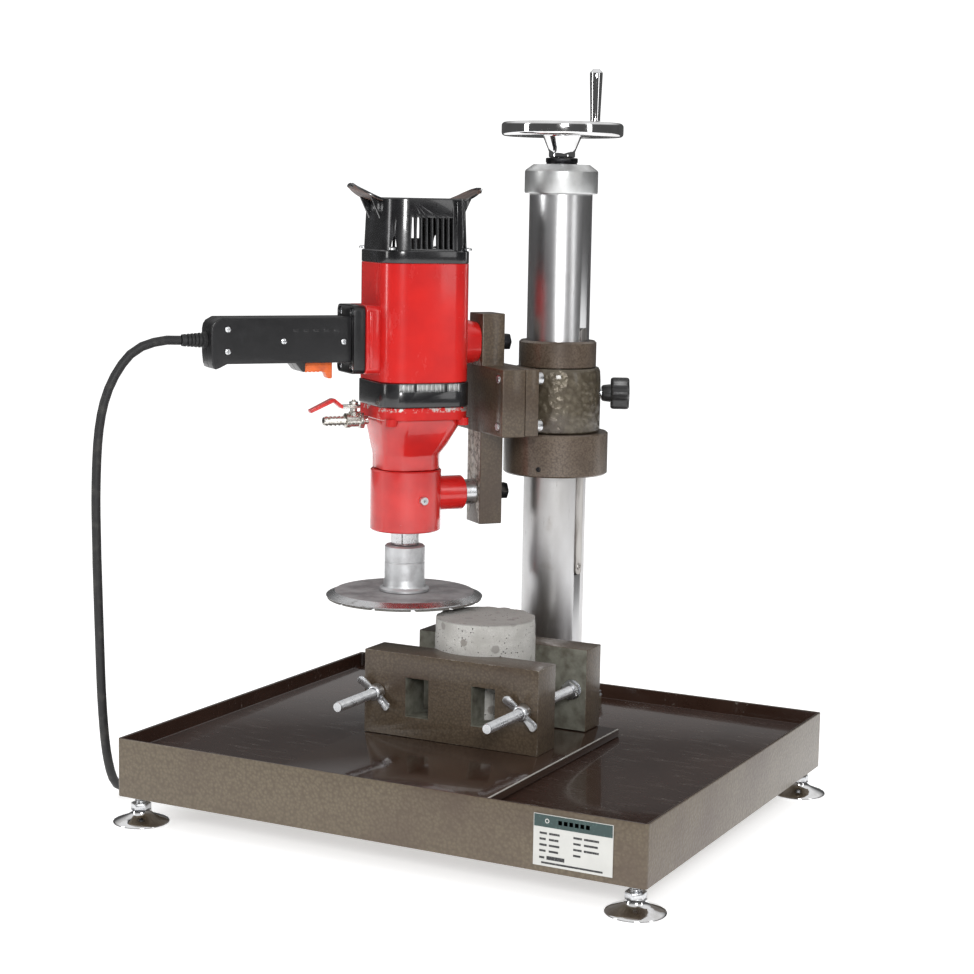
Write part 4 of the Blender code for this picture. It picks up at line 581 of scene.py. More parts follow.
def prism(outline, start, width):
    """A side outline of (x, z) pairs, drawn out along Y from a start by a width."""
    shape = bmesh.new()
    shape.faces.new([shape.verts.new((x, start, z)) for x, z in outline])
    return extruded(shape, (0.0, width, 0.0))


def bar(radius, foot, top, centre=(0.0, 0.0), steps=32):
    shape = bmesh.new()
    bmesh.ops.create_cone(shape, cap_ends=True, segments=steps, radius1=radius, radius2=radius, depth=top - foot)
    shifted(shape, (*centre, (foot + top) / 2))
    return shape


def aimed(shape, point, direction):
    """Stand a shape drawn up from the origin on a point, along a direction."""
    turn = Vector((0.0, 0.0, 1.0)).rotation_difference(Vector(direction)).to_matrix().to_4x4()
    bmesh.ops.transform(shape, matrix=Matrix.Translation(point) @ turn, verts=shape.verts)
    return shape


def lengthwise(shape, z, y=0.0, x=0.0):
    """Lay a shape drawn up from the origin along +X, at a height."""
    return aimed(shape, (x, y, z), (1.0, 0.0, 0.0))


def dress(piece, body, slot, *nodes):
    """Fix a piece to its moving body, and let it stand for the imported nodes."""
    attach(piece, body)
    if nodes:
        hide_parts(*nodes)


def fit(name, shape, finishes, body, slot, *nodes, smooth=32.0):
    """Make a piece of a shape and dress it."""
    dress(made(name, shape, finishes, smooth), body, slot, *nodes)


TRAY_SHEET, TRAY_FLOOR, FLOOR_SHEET, GUSSET_SHEET, GUSSET = 0.003, 0.07, 0.004, 0.006, 0.04
tray_low, tray_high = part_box("tray")
stud_low, stud_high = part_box("foot_stud_front_left")
foot_places = [(sx * abs(stud_low.x + stud_high.x) / 2, sy * abs(stud_low.y + stud_high.y) / 2)
               for sx in (-1, 1) for sy in (-1, 1)]
inner_x, inner_y = tray_high.x - TRAY_SHEET, tray_high.y - TRAY_SHEET
shell = block(tray_low, tray_high)
rounded(shell, 0.0032, 4, lambda e: runs(e, 2))
gusset_top = tray_low.z + GUSSET_SHEET
tray_shape = carved(
    shell,
    block((-inner_x, -inner_y, TRAY_FLOOR), (inner_x, inner_y, 0.2)),
    block((-inner_x, -inner_y, gusset_top), (inner_x, inner_y, TRAY_FLOOR - FLOOR_SHEET)),
    block((GUSSET - inner_x, -inner_y, 0.0), (inner_x - GUSSET, inner_y, gusset_top + 0.0005)),
    block((-inner_x, GUSSET - inner_y, 0.0), (inner_x, inner_y - GUSSET, gusset_top + 0.0005)),
    *(bar(0.0065, 0.0, gusset_top + 0.001, place, 32) for place in foot_places),
)
soften(tray_shape, 0.0007, 3)
for face in tray_shape.faces:
    middle = face.calc_center_median()
    inside = abs(middle.x) < inner_x + 0.0003 and abs(middle.y) < inner_y + 0.0003
    face.material_index = 1 if inside and middle.z > TRAY_FLOOR - 0.001 else 0
fit("tray_shell", tray_shape, [hammered, gloss_brown], "frame", "hammertone_paint", "tray")

# Weld beads run up the four inside corners, under the paint.
for number, (sx, sy) in enumerate(((-1, -1), (1, -1), (-1, 1), (1, 1))):
    beads = []
    for i in range(9):
        bead = bmesh.new()
        bmesh.ops.create_uvsphere(bead, u_segments=10, v_segments=6, radius=0.0021)
        lift = TRAY_FLOOR + 0.0006 + 0.00155 * i
        bmesh.ops.scale(bead, verts=bead.verts, vec=(1.0, 1.0, 0.55))
        shifted(bead, (
            sx * (inner_x - 0.0006), sy * (inner_y - 0.0006), lift))
        beads.append(bead)
    fit(f"corner_weld_{number + 1}", joined(*beads), gloss_brown, "frame", "hammertone_paint")

# ---- Mounting plate ----
# A steel plate 8 mm thick, laid on the tray's floor under the clamp and the column's side.
# It is sprayed in the same gloss brown as the tray inside, and its edges are rubbed bare.
plate_low, plate_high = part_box("mounting_plate")
plate_finish = Finish("plate_enamel", (0.03, 0.015, 0.01), 0.14, coat=0.6, coat_roughness=0.04)
plate_x, _, plate_z = plate_finish.axes()
plate_chips = plate_finish.noise(170.0, 6.0, roughness=0.65)
plate_rub = (plate_x + 0.0016 * plate_chips).step(plate_high.x - 0.0009, plate_high.x + 0.0002)
plate_rub = plate_rub * (plate_z + 0.0012 * plate_chips).step(plate_high.z - 0.0006, plate_high.z + 0.0002)
plate_cloud = plate_finish.noise(9.0, 6.0)
plate_colour = plate_finish.mixed(plate_cloud.step(0.3, 0.75), (0.024, 0.011, 0.007), (0.044, 0.024, 0.016))
plate_finish.set(
    colour=plate_finish.mixed(plate_rub, plate_colour, (0.62, 0.6, 0.56)),
    roughness=0.09 + 0.14 * plate_cloud + 0.3 * plate_rub,
    metallic=0.85 * plate_rub,
)
plate_finish.relief(plate_finish.noise(50.0, 2.0), 0.0002, 0.3)
fit("clamp_mounting_plate", block(plate_low, plate_high, 0.0007, 3), plate_finish, "frame", "dark_gloss_paint",
    "mounting_plate")

# ---- Adjustable feet ----
# Four chromed steel foot discs, pressed to a low dome, each on an M12 stud that screws into
# the tray's gusset and is held by a thin hexagon nut.
chrome = Finish("polished_chrome", (0.8, 0.8, 0.81), 0.08, 1.0)
chrome_cloud = chrome.noise(70.0, 5.0)
chrome.set(
    colour=chrome.mixed(chrome_cloud.step(0.35, 0.8), (0.83, 0.83, 0.84), (0.66, 0.65, 0.64)),
    roughness=0.05 + 0.16 * chrome_cloud.step(0.4, 0.85),
)
chrome.relief(chrome.noise(35.0, 2.0), 0.00003, 0.3)

DOME = [(0.0, 0.0), (0.0262, 0.0), (0.0272, 0.0006), (0.0275, 0.0016), (0.027, 0.0027), (0.0258, 0.0036),
        (0.0225, 0.005), (0.018, 0.0067), (0.014, 0.0084), (0.0115, 0.0098), (0.0104, 0.0112),
        (0.0099, 0.0126), (0.0096, 0.0138), (0.0088, 0.01395), (0.0, 0.01395)]


def hexagon(radius, foot, top, chamfer=0.0006, bore=0.0):
    """A hexagon nut or head: corners of that radius, with its rims chamfered."""
    shape = bar(radius, foot, top, steps=6)
    collar = turned([(0.0, foot - 0.01), (0.93 * radius, foot - 0.0001), (1.1 * radius, foot + 0.11 * radius),
                     (1.1 * radius, top - 0.11 * radius), (0.93 * radius, top + 0.0001), (0.0, top + 0.01)], steps=48)
    shape = carved(shape, collar, operation="INTERSECT")
    if bore:
        shape = carved(shape, bar(bore, foot - 0.01, top + 0.01, steps=32))
    return soften(shape, chamfer * 0.4, 1)


def threaded(radius, foot, top, pitch=0.0015, depth=0.0007, steps=24):
    """A screw thread as a stack of ridges, with a chamfered end."""
    profile = [(0.0, foot), (radius - depth, foot)]
    z = foot + 0.3 * pitch
    while z < top - 1.2 * pitch:
        profile += [(radius, z + 0.35 * pitch), (radius, z + 0.45 * pitch), (radius - depth, z + 0.8 * pitch)]
        z += pitch
    profile += [(radius - depth, top - 0.0003), (radius - 1.4 * depth, top), (0.0, top)]
    return turned(profile, steps=steps)


for number, (x, y) in enumerate(foot_places):
    end, side = ("front", "back")[number % 2], ("left", "right")[number // 2]
    body = f"foot_{end}_{side}"
    disc = turned(DOME, (x, y), 64)
    fit(f"foot_dome_{end}_{side}", disc, chrome, body, "chrome", f"foot_disc_{end}_{side}", smooth=45.0)
    low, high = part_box(f"foot_stud_{end}_{side}")
    stud = threaded(0.0059, low.z, high.z, 0.00175, 0.0008)
    jam = shifted(hexagon(0.0098, 0.0, 0.0058), (0.0, 0.0, 0.0144))
    shape = shifted(joined(stud, jam), (x, y, 0.0))
    fit(f"foot_stud_{end}_{side}_threaded", shape, zinc, body, "zinc_plate", f"foot_stud_{end}_{side}")

# ---- Rating plate ----
# A thin printed plate, stuck on the tray's front wall: a dark green heading strip over ruled
# fields on off-white. It carries no words, only rules and blocks where a form has its entries.
label_low, label_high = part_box("rating_plate")
label_white = clouded(
    "plate_white", (0.55, 0.55, 0.52), 0.22, 0.15, coat=0.3, coat_roughness=0.06, cloud=(55.0, 5.0),
    tones=((0.47, 0.47, 0.45), (0.62, 0.62, 0.59)), dull=(0.16, 0.18))
label_green = clouded(
    "plate_green_ink", (0.012, 0.045, 0.042), 0.25, coat=0.3, cloud=(400.0, 5.0), span=(0.55, 0.75),
    tones=((0.009, 0.036, 0.034), (0.03, 0.075, 0.07)))
label_ink = clouded(
    "plate_black_ink", (0.02, 0.02, 0.022), 0.3, cloud=(900.0, 3.0), span=(0.5, 0.75),
    tones=((0.014, 0.014, 0.016), (0.13, 0.13, 0.125)))
PRINT = 0.00004
label_front = label_low.y


def printed(left, width, foot, height):
    """A patch of ink on the plate, from its left edge and its foot."""
    x, z = label_low.x + left, label_low.z + foot
    return block((x, label_front - PRINT, z), (x + width, label_front + PRINT, z + height))


label_parts = [block(label_low + Vector((0.0, PRINT, 0.0)), label_high, 0.0002)]
label_kinds = [0]
label_parts.append(printed(0.0006, 0.0738, 0.0346, 0.0108))
label_kinds.append(1)
emblem = aimed(turned([(0.0013, 0.0), (0.002, 0.0), (0.002, 2 * PRINT), (0.0013, 2 * PRINT)], steps=32,
                      closed=True), (label_low.x + 0.013, label_front, label_low.z + 0.0402), (0.0, -1.0, 0.0))
heading = [printed(0.0235 + 0.0052 * i, 0.0036, 0.0383, 0.0038) for i in range(6)]
label_parts += [emblem, *heading]
label_kinds += [0] * 7
for row in range(4):
    foot = 0.0282 - 0.0052 * row
    for column, spans in enumerate((((0.0, 0.007), (0.009, 0.01)), ((0.0, 0.008), (0.01, 0.014)))):
        for start, width in spans[: 1 if (row, column) == (3, 1) else 2]:
            label_parts.append(printed(0.006 + 0.032 * column + start, width - 0.001 * (row % 2), foot, 0.0019))
            label_kinds.append(2)
label_parts += [printed(0.013, 0.017, 0.006, 0.0034), printed(0.006, 0.005, 0.0066, 0.0019),
                printed(0.008, 0.058, 0.0022, 0.0017)]
label_kinds += [2, 2, 2]
fit("rating_plate_printed", joined(*label_parts, finish=label_kinds), [label_white, label_green, label_ink],
    "frame", "printed_label", "rating_plate")

# ---- Clamp jaws ----
# Two cast iron jaws, machined and painted outside. Each has a hollow bored for the core; the
# front one has two windows, left bare inside. The paint is chipped to metal along the arrises.


def edge_distance(finish, low, high, centre=(0.0, 0.0, 0.0), turn=0.0):
    """How far a point on a block is from the block's nearest edge."""
    place = finish.place if turn == 0.0 else finish.moved(centre, turn=turn)
    x, y, z = (
        (b - a) / 2 - (axis - (a + b) / 2).maths("ABSOLUTE")
        for axis, a, b in zip(finish.axes(place), low, high)
    )
    return x.maths("MINIMUM", y).maths("MAXIMUM", x.maths("MAXIMUM", y).maths("MINIMUM", z))


def enamelled(name, low, high, chips=0.0016, centre=(0.0, 0.0, 0.0), turn=0.0, gloss=0.0):
    """Hammered brown enamel on a block-shaped casting, chipped along its edges."""
    paint = Finish(name, (0.11, 0.08, 0.057), 0.36, 0.2, coat=0.3 + gloss, coat_roughness=0.15)
    cells = paint.cells(420.0)
    speck = paint.noise(800.0, 3.0)
    cloud = paint.noise(14.0, 5.0)
    base = paint.mixed((cells + 0.3 * speck).step(0.2, 0.95), (0.112, 0.082, 0.052), (0.07, 0.049, 0.031))
    colour = paint.mixed(cloud.step(0.4, 0.8), base, (0.062, 0.04, 0.028))
    edge = edge_distance(paint, low, high, centre, turn)
    chip = 1.0 - (edge + 0.0009 - chips * paint.noise(190.0, 6.0, roughness=0.7)).step(0.0, 0.00035)
    paint.set(
        colour=paint.mixed(chip, colour, (0.46, 0.43, 0.38)),
        roughness=0.27 + 0.25 * speck + 0.15 * chip,
        metallic=0.2 + 0.55 * chip,
    )
    return paint.relief(cells + 0.3 * speck - 0.5 * chip, 0.0003, 0.6)


bare_iron = clouded(
    "bare_cast_iron", (0.36, 0.37, 0.33), 0.55, 0.35, cloud=(75.0, 6.0), span=(0.3, 0.8),
    tones=((0.235, 0.235, 0.195), (0.085, 0.075, 0.055)), dull=(0.42, 0.3), relief=((420.0, 4.0), (0.00035, 0.6)))

JAW_AXIS = ((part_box("core_specimen")[0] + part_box("core_specimen")[1]) / 2).xy
CORE_RADIUS = (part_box("core_specimen")[1].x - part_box("core_specimen")[0].x) / 2
ROD_X = 0.08
ROD_Z = (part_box("clamp_rod_left")[0].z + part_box("clamp_rod_left")[1].z) / 2
WINDOW_X, WINDOW_HALF, WINDOW_LOW, WINDOW_HIGH = 0.03625, 0.01275, 0.0991, 0.1381
front_low, front_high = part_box("front_jaw")
rear_low, rear_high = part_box("rear_jaw")


def rod_hole(side, near, far, radius):
    return aimed(bar(radius, 0.0, far - near, steps=40), (JAW_AXIS.x + side * ROD_X, near, ROD_Z), (0.0, 1.0, 0.0))


def jaw(name, low, high, *holes):
    body = carved(
        block(low, high),
        bar(CORE_RADIUS + 0.0003, low.z - 0.01, high.z + 0.01, JAW_AXIS, 128),
        *holes,
    )
    soften(body, 0.0008, 3)
    for face in body.faces:
        middle = face.calc_center_median()
        hollow = all(abs((v.co.xy - JAW_AXIS).length - CORE_RADIUS) < 0.0016 for v in face.verts)
        window = (low.y + 0.001 < middle.y < high.y - 0.001 and WINDOW_LOW - 0.0002 < middle.z < WINDOW_HIGH + 0.0002
                  and any(abs(middle.x - JAW_AXIS.x - s * WINDOW_X) < WINDOW_HALF + 0.0002 for s in (-1, 1)))
        clamping = name == "jaw_rear" and face.normal.y < -0.9
        face.material_index = 1 if hollow or clamping or (window and name == "jaw_front") else 0
    return made(name, body, [enamelled(f"{name}_enamel", low, high), bare_iron])


windows = [
    block((JAW_AXIS.x + side * WINDOW_X - WINDOW_HALF, front_low.y - 0.01, WINDOW_LOW),
          (JAW_AXIS.x + side * WINDOW_X + WINDOW_HALF, front_high.y + 0.01, WINDOW_HIGH))
    for side in (-1, 1)
]
through = [rod_hole(side, front_low.y - 0.01, front_high.y + 0.01, 0.0058) for side in (-1, 1)]
front_jaw = jaw("jaw_front", front_low, front_high, *windows, *through)
dress(front_jaw, "front_jaw", "hammertone_paint", "front_jaw")
sockets = [rod_hole(side, rear_low.y - 0.01, rear_low.y + 0.026, 0.0053) for side in (-1, 1)]
rear_jaw = jaw("jaw_rear", rear_low, rear_high, *sockets)
dress(rear_jaw, "frame", "hammertone_paint", "rear_jaw")

# ---- Clamp rods and nuts ----
# Two M10 zinc-plated rods, screwed into the rear jaw and locked there by a nut and washer.
# Stamped wing nuts on their free ends push the front jaw against the core.
for side, label in ((-1, "left"), (1, "right")):
    low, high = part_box(f"clamp_rod_{label}")
    x = JAW_AXIS.x + side * ROD_X
    screw = aimed(threaded(0.005, 0.0, high.y - low.y, 0.0015, 0.00045, 32), (x, high.y, ROD_Z), (0.0, -1.0, 0.0))
    fit(f"threaded_rod_{label}", screw, zinc, "frame", "zinc_plate", f"clamp_rod_{label}")

    low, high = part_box(f"rod_nut_{label}")
    lock = joined(
        hexagon(0.0093, 0.0018, high.y - low.y, bore=0.0052),
        turned([(0.0053, 0.0), (0.0098, 0.0), (0.0098, 0.0015), (0.0053, 0.0015)], steps=48, closed=True),
    )
    lock = aimed(lock, (x, high.y, ROD_Z), (0.0, -1.0, 0.0))
    fit(f"lock_nut_{label}", lock, zinc, "frame", "zinc_plate", f"rod_nut_{label}")

    hub = turned([(0.0053, 0.0), (0.008, 0.0), (0.0086, 0.001), (0.008, 0.0062), (0.0072, 0.0094),
                  (0.0064, 0.0102), (0.0056, 0.0104), (0.0053, 0.0098)], steps=48, closed=True)
    wings = [hub]
    for end in (-1, 1):
        wing = block((0.0058, -0.0046, 0.0048), (0.0218, 0.0052, 0.0068))
        rounded(wing, 0.0042, 6, lambda e: runs(e, 2, 0.001) and e.verts[0].co.x > 0.01)
        bmesh.ops.subdivide_edges(wing, edges=wing.edges, cuts=1, use_grid_fill=True)
        for vertex in wing.verts:
            out = max(vertex.co.x - 0.007, 0.0)
            vertex.co.z += 12.0 * out * out
            vertex.co.y *= 0.72 + 20.0 * out
        soften(wing, 0.0004, 2)
        bmesh.ops.rotate(wing, verts=wing.verts, matrix=Matrix.Rotation(math.radians(-40 if end > 0 else 140), 3, "Z"))
        wings.append(wing)
    wings = aimed(joined(*wings), (x, front_low.y - 0.0003, ROD_Z), (0.0, -1.0, 0.0))
    fit(f"wing_nut_{label}_stamped", wings, zinc, f"wing_nut_{label}", "zinc_plate", f"wing_nut_{label}")

# ---- Concrete core ----
# A drilled core 100 mm across: cement paste with cut aggregate and small voids in its side,
# a ragged chipped band under its freshly ground top.
concrete = Finish("cut_concrete", (0.5, 0.49, 0.46), 0.85)
core_low, core_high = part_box("core_specimen")
stones, stone_tint, pores = (
    concrete.node("ShaderNodeTexVoronoi", {"feature": "F1"}, {"Vector": concrete.place, "Scale": scale}, output)
    for scale, output in ((75.0, 0), (75.0, 1), (260.0, 0)))
stone_share = concrete.node("ShaderNodeSeparateColor", {}, {0: stone_tint})
stone_edge = (stones + 0.18 * concrete.noise(260.0, 4.0)).step(0.36, 0.46)
is_stone = (1.0 - stone_edge) * stone_share.step(0.55, 0.6)
sand = concrete.noise(900.0, 5.0, roughness=0.7)
cloud = concrete.noise(28.0, 5.0)
paste = concrete.mixed(sand.step(0.3, 0.75), (0.44, 0.43, 0.41), (0.66, 0.65, 0.62))
paste = concrete.mixed(cloud.step(0.35, 0.75), paste, (0.4, 0.39, 0.365))
stone_colour = concrete.mixed(stone_share.step(0.6, 1.0), (0.24, 0.215, 0.19), (0.34, 0.33, 0.315))
pore = 1.0 - (pores + 0.5 * cloud).step(0.32, 0.44)
body_colour = concrete.mixed(is_stone, paste, stone_colour)
ground_top = (concrete.axes()[2] + 0.002 * sand).step(core_high.z - 0.0006, core_high.z + 0.0004)
body_colour = concrete.mixed(ground_top * 0.6, body_colour, (0.25, 0.24, 0.23))
concrete.set(colour=concrete.mixed(pore, body_colour, (0.1, 0.095, 0.09)), roughness=0.78 + 0.18 * sand)
concrete.relief(sand * 0.5 - 1.2 * pore + 0.3 * is_stone, 0.0012, 0.9)

core = bar(CORE_RADIUS, core_low.z, core_high.z, JAW_AXIS, 144)
bmesh.ops.subdivide_edges(core, edges=[e for e in core.edges if runs(e, 2)], cuts=56)
for foot in (core_low.z, core_high.z):
    cap = [f for f in core.faces if all(abs(v.co.z - foot) < 1e-6 for v in f.verts)]
    bmesh.ops.inset_region(core, faces=cap, thickness=0.0025)
    bmesh.ops.inset_region(core, faces=[f for f in cap if f.is_valid], thickness=0.006)
for vertex in core.verts:
    radial = Vector((vertex.co.x - JAW_AXIS.x, vertex.co.y - JAW_AXIS.y, 0.0))
    if radial.length < 0.8 * CORE_RADIUS:
        continue
    below = core_high.z - vertex.co.z
    rough = 0.5 + 0.5 * grain.noise(vertex.co * 380.0)
    chip = max(grain.noise(Vector((vertex.co.x, vertex.co.y, 0.3)) * 95.0) + 0.25, 0.0)
    ragged = max(1.0 - below / (0.004 + 0.007 * chip), 0.0)
    band = 0.0007 * (1.0 - ease(below, 0.0165 + 0.003 * chip, 0.018 + 0.003 * chip))
    inward = 0.00018 * rough + 0.0021 * chip * ragged + band * (0.4 + 0.6 * rough)
    vertex.co -= radial.normalized() * inward
    vertex.co.z -= 0.0016 * chip * ragged * rough * ease(radial.length, 0.93 * CORE_RADIUS, CORE_RADIUS)
fit("concrete_core", core, concrete, "frame", "concrete", "core_specimen", smooth=40.0)

# ---- Column ----
# A ground and hard-chromed steel tube 65 mm across, clamped in a round cast base. A feather key
# is let into it and a long slot behind lets the feed nut drive the carriage from inside.
COLUMN = Vector((-0.005, 0.166))
COLUMN_RADIUS = 0.0325
KEY_ANGLE = math.radians(348)
column_finish = Finish("ground_chromed_tube", (0.62, 0.62, 0.62), 0.2, 1.0)
grind = column_finish.noise(38.0, 5.0, stretch=(1.0, 1.0, 14.0))
scratch = column_finish.noise(130.0, 6.0, stretch=(6.0, 6.0, 0.35), roughness=0.75)
smear = column_finish.noise(11.0, 6.0, stretch=(1.6, 1.6, 0.5))
stain = column_finish.noise(26.0, 6.0)
column_colour = column_finish.mixed(smear.step(0.3, 0.75), (0.66, 0.66, 0.67), (0.43, 0.42, 0.41))
column_colour = column_finish.mixed(scratch.step(0.62, 0.72), column_colour, (0.27, 0.25, 0.24))
column_finish.set(
    colour=column_finish.mixed(stain.step(0.62, 0.78) * 0.5, column_colour, (0.3, 0.25, 0.21)),
    roughness=0.17 + 0.2 * smear + 0.12 * grind + 0.25 * scratch.step(0.6, 0.75),
)
column_finish.relief(grind + 0.8 * scratch, 0.00005, 0.6)


def turn_to(shape, angle, centre=COLUMN):
    """Swing a shape that was drawn along +X from an upright axis round to its bearing."""
    bmesh.ops.transform(shape, verts=shape.verts, matrix=Matrix.Translation((*centre, 0.0))
                        @ Matrix.Rotation(angle, 4, "Z"))
    return shape


tube_low, tube_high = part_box("column_tube")
key_low, key_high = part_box("column_key")
SLOT_ANGLE, SLOT_HALF, SLOT_FOOT, SLOT_TOP = math.radians(117), 0.0063, 0.2, tube_high.z - 0.03
slot = turn_to(block((0.0, -SLOT_HALF, SLOT_FOOT), (0.045, SLOT_HALF, SLOT_TOP), 0.004, 4), SLOT_ANGLE)
key_seat = turn_to(block((COLUMN_RADIUS - 0.0033, -0.0053, key_low.z - 0.0003), (0.045, 0.0053, key_high.z + 0.0003)),
                   KEY_ANGLE)
tube_shape = carved(
    turned([(COLUMN_RADIUS, tube_low.z), (COLUMN_RADIUS, tube_high.z), (0.0265, tube_high.z), (0.0265, tube_low.z)],
           COLUMN, 128, closed=True),
    slot, key_seat,
)
column = made("column_ground_tube", soften(tube_shape, 0.0004, 2), column_finish)
dress(column, "frame", "ground_steel", "column_tube")

key_finish = clouded(
    "drawn_key_steel", (0.46, 0.44, 0.42), 0.34, 1.0, cloud=(90.0, 6.0, (1.0, 1.0, 0.2)), span=(0.4, 0.7),
    tones=((0.5, 0.48, 0.46), (0.26, 0.23, 0.21)), dull=(0.26, 0.3))
key_bar = block((COLUMN_RADIUS - 0.003, -0.005, key_low.z), (COLUMN_RADIUS + 0.0015, 0.005, key_high.z))
rounded(key_bar, 0.0047, 6, lambda e: runs(e, 0, 0.003))
key_screw = aimed(
    turned([(0.0, 0.0), (0.0032, 0.0), (0.0034, 0.0003), (0.003, 0.0009), (0.0018, 0.001), (0.0016, 0.0004),
            (0.0, 0.0004)], steps=24), (COLUMN_RADIUS + 0.0014, 0.0, key_low.z + 0.0085), (1.0, 0.0, 0.0))
key_shape = turn_to(joined(soften(key_bar, 0.0004, 2), key_screw), KEY_ANGLE)
fit("feather_key", key_shape, key_finish, "frame", "ground_steel", "column_key")

base_low, base_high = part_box("column_base")
BASE_RADIUS = (base_high.x - base_low.x) / 2
base_profile = [
    (BASE_RADIUS, base_low.z), (BASE_RADIUS, base_low.z + 0.0115), (BASE_RADIUS - 0.0015, base_low.z + 0.013),
    (0.048, base_low.z + 0.013), (0.045, base_low.z + 0.0145), (0.044, base_low.z + 0.018),
    (0.044, base_high.z - 0.0015), (0.0425, base_high.z), (COLUMN_RADIUS + 0.0003, base_high.z),
    (COLUMN_RADIUS + 0.0003, base_low.z),
]
base_bolts = []
for i in range(4):
    bolt = joined(hexagon(0.0062, 0.0012, 0.0052),
                  turned([(0.0, 0.0), (0.007, 0.0), (0.007, 0.0012), (0.0, 0.0012)], steps=36))
    base_bolts.append(shifted(bolt, (*polar(COLUMN, 0.0485, math.radians(20 + 90 * i)), base_low.z + 0.0125)))
base_ring = turned(base_profile, COLUMN, 96, closed=True)
base = made("column_foot_casting", base_ring, hammered)
dress(base, "frame", "hammertone_paint", "column_base")
fit("column_foot_bolts", joined(*base_bolts), zinc, "frame", "zinc_plate")

# ---- Top cap ----
# A turned aluminium cap pressed over the tube's end, with fine lathe lines and a chamfered top.
# It carries the lead screw's upper bearing.
aluminium = Finish("turned_aluminium", (0.66, 0.67, 0.67), 0.34, 1.0)
lathe = aluminium.round_axis(COLUMN, 260.0)
cap_cloud = aluminium.noise(40.0, 5.0)
aluminium.set(
    colour=aluminium.mixed(cap_cloud.step(0.35, 0.8), (0.7, 0.71, 0.71), (0.5, 0.5, 0.49)),
    roughness=0.24 + 0.16 * lathe + 0.14 * cap_cloud,
)
aluminium.relief(lathe, 0.00006, 0.9)
cap_low, cap_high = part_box("top_cap")
CAP_RADIUS = (cap_high.x - cap_low.x) / 2
cap_profile = [
    (CAP_RADIUS - 0.0018, cap_low.z), (CAP_RADIUS - 0.0005, cap_low.z + 0.0006), (CAP_RADIUS, cap_low.z + 0.002),
    (CAP_RADIUS, cap_high.z - 0.0072), (CAP_RADIUS - 0.001, cap_high.z - 0.0056),
    (0.8 * CAP_RADIUS, cap_high.z - 0.0008), (0.77 * CAP_RADIUS, cap_high.z), (0.0063, cap_high.z),
    (0.0063, tube_high.z + 0.0003), (COLUMN_RADIUS + 0.0003, tube_high.z + 0.0003),
    (COLUMN_RADIUS + 0.0003, cap_low.z),
]
fit("column_cap_turned", turned(cap_profile, COLUMN, 128, closed=True), aluminium, "frame", "machined_aluminium",
    "top_cap", smooth=20.0)

# ---- Lead screw, lock nut and handwheel ----
# The screw hangs in the cap and turns in the feed nut inside the tube. A chromed cast wheel is
# keyed on its top end above a black lock nut, and a tapered handle spins freely on its rim.
steel = Finish("turned_bright_steel", (0.56, 0.56, 0.57), 0.26, 1.0)
steel_lines = steel.noise(60.0, 4.0, stretch=(1.0, 1.0, 30.0))
steel_cloud = steel.noise(70.0, 5.0)
steel.set(
    colour=steel.mixed(steel_cloud.step(0.4, 0.8), (0.6, 0.6, 0.61), (0.4, 0.385, 0.37)),
    roughness=0.2 + 0.14 * steel_lines + 0.16 * steel_cloud,
)
steel.relief(steel_lines, 0.00005, 0.7)
screw_low, screw_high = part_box("lead_screw")
WHEEL_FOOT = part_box("handwheel")[0].z
lead = joined(
    threaded(0.008, screw_low.z, tube_high.z - 0.0003, 0.004, 0.0018, 32),
    bar(0.0058, tube_high.z - 0.0003, screw_high.z),
)
shifted(lead, (*COLUMN, 0.0))
fit("feed_screw_threaded", lead, steel, "handwheel", "ground_steel", "lead_screw")

black_oxide = clouded(
    "black_oxide_steel", (0.025, 0.025, 0.027), 0.36, 0.8, cloud=(140.0, 5.0), span=(0.45, 0.8),
    tones=((0.02, 0.02, 0.022), (0.075, 0.068, 0.062)), dull=(0.28, 0.26))
nut_low, nut_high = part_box("lock_nut")
nut_radius = (nut_high.x - nut_low.x) / 2
lock = joined(
    hexagon(nut_radius * 0.98, nut_low.z + 0.0014, nut_high.z, bore=0.0063),
    turned([(0.0064, nut_low.z), (nut_radius * 0.93, nut_low.z), (nut_radius * 0.93, nut_low.z + 0.0014),
            (0.0064, nut_low.z + 0.0014)], steps=64, closed=True),
)
shifted(lock, (*COLUMN, 0.0))
fit("screw_lock_nut", lock, black_oxide, "handwheel", "black_steel", "lock_nut")

WHEEL_RADIUS = (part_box("handwheel")[1].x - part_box("handwheel")[0].x) / 2
HANDLE_ANGLE, HANDLE_ORBIT, WEB_REACH = math.radians(332), 0.0545, 0.0355
handle_low, handle_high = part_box("crank_handle")
WHEEL_TOP = handle_low.z - 0.0003
rim_middle = WHEEL_TOP - 0.007
wheel_profile = [(0.0063, WHEEL_FOOT), (0.0125, WHEEL_FOOT), (0.0136, WHEEL_FOOT + 0.001),
                 (0.0136, WHEEL_FOOT + 0.006), (0.0148, WHEEL_FOOT + 0.009), (0.02, rim_middle - 0.0068),
                 (0.029, rim_middle - 0.0052), (0.04, rim_middle - 0.0046), (0.047, rim_middle - 0.0047)]
RIM_CORNER = 0.0036
for side, start in ((-1, -90), (1, 0)):
    for i in range(7):
        angle = math.radians(start + 15 * i)
        wheel_profile.append((WHEEL_RADIUS - RIM_CORNER * (1 - math.cos(angle)),
                              rim_middle + side * (0.007 - RIM_CORNER) + RIM_CORNER * math.sin(angle)))
wheel_profile += [(0.051, rim_middle + 0.007), (0.0488, rim_middle + 0.0058), (0.047, rim_middle + 0.001),
                  (0.0455, rim_middle - 0.0006), (0.04, rim_middle - 0.0014),
                  (0.029, rim_middle - 0.001), (0.0205, rim_middle + 0.0004), (0.0165, rim_middle + 0.004),
                  (0.0158, WHEEL_FOOT + 0.0205), (0.0146, WHEEL_FOOT + 0.022), (0.0063, WHEEL_FOOT + 0.022)]
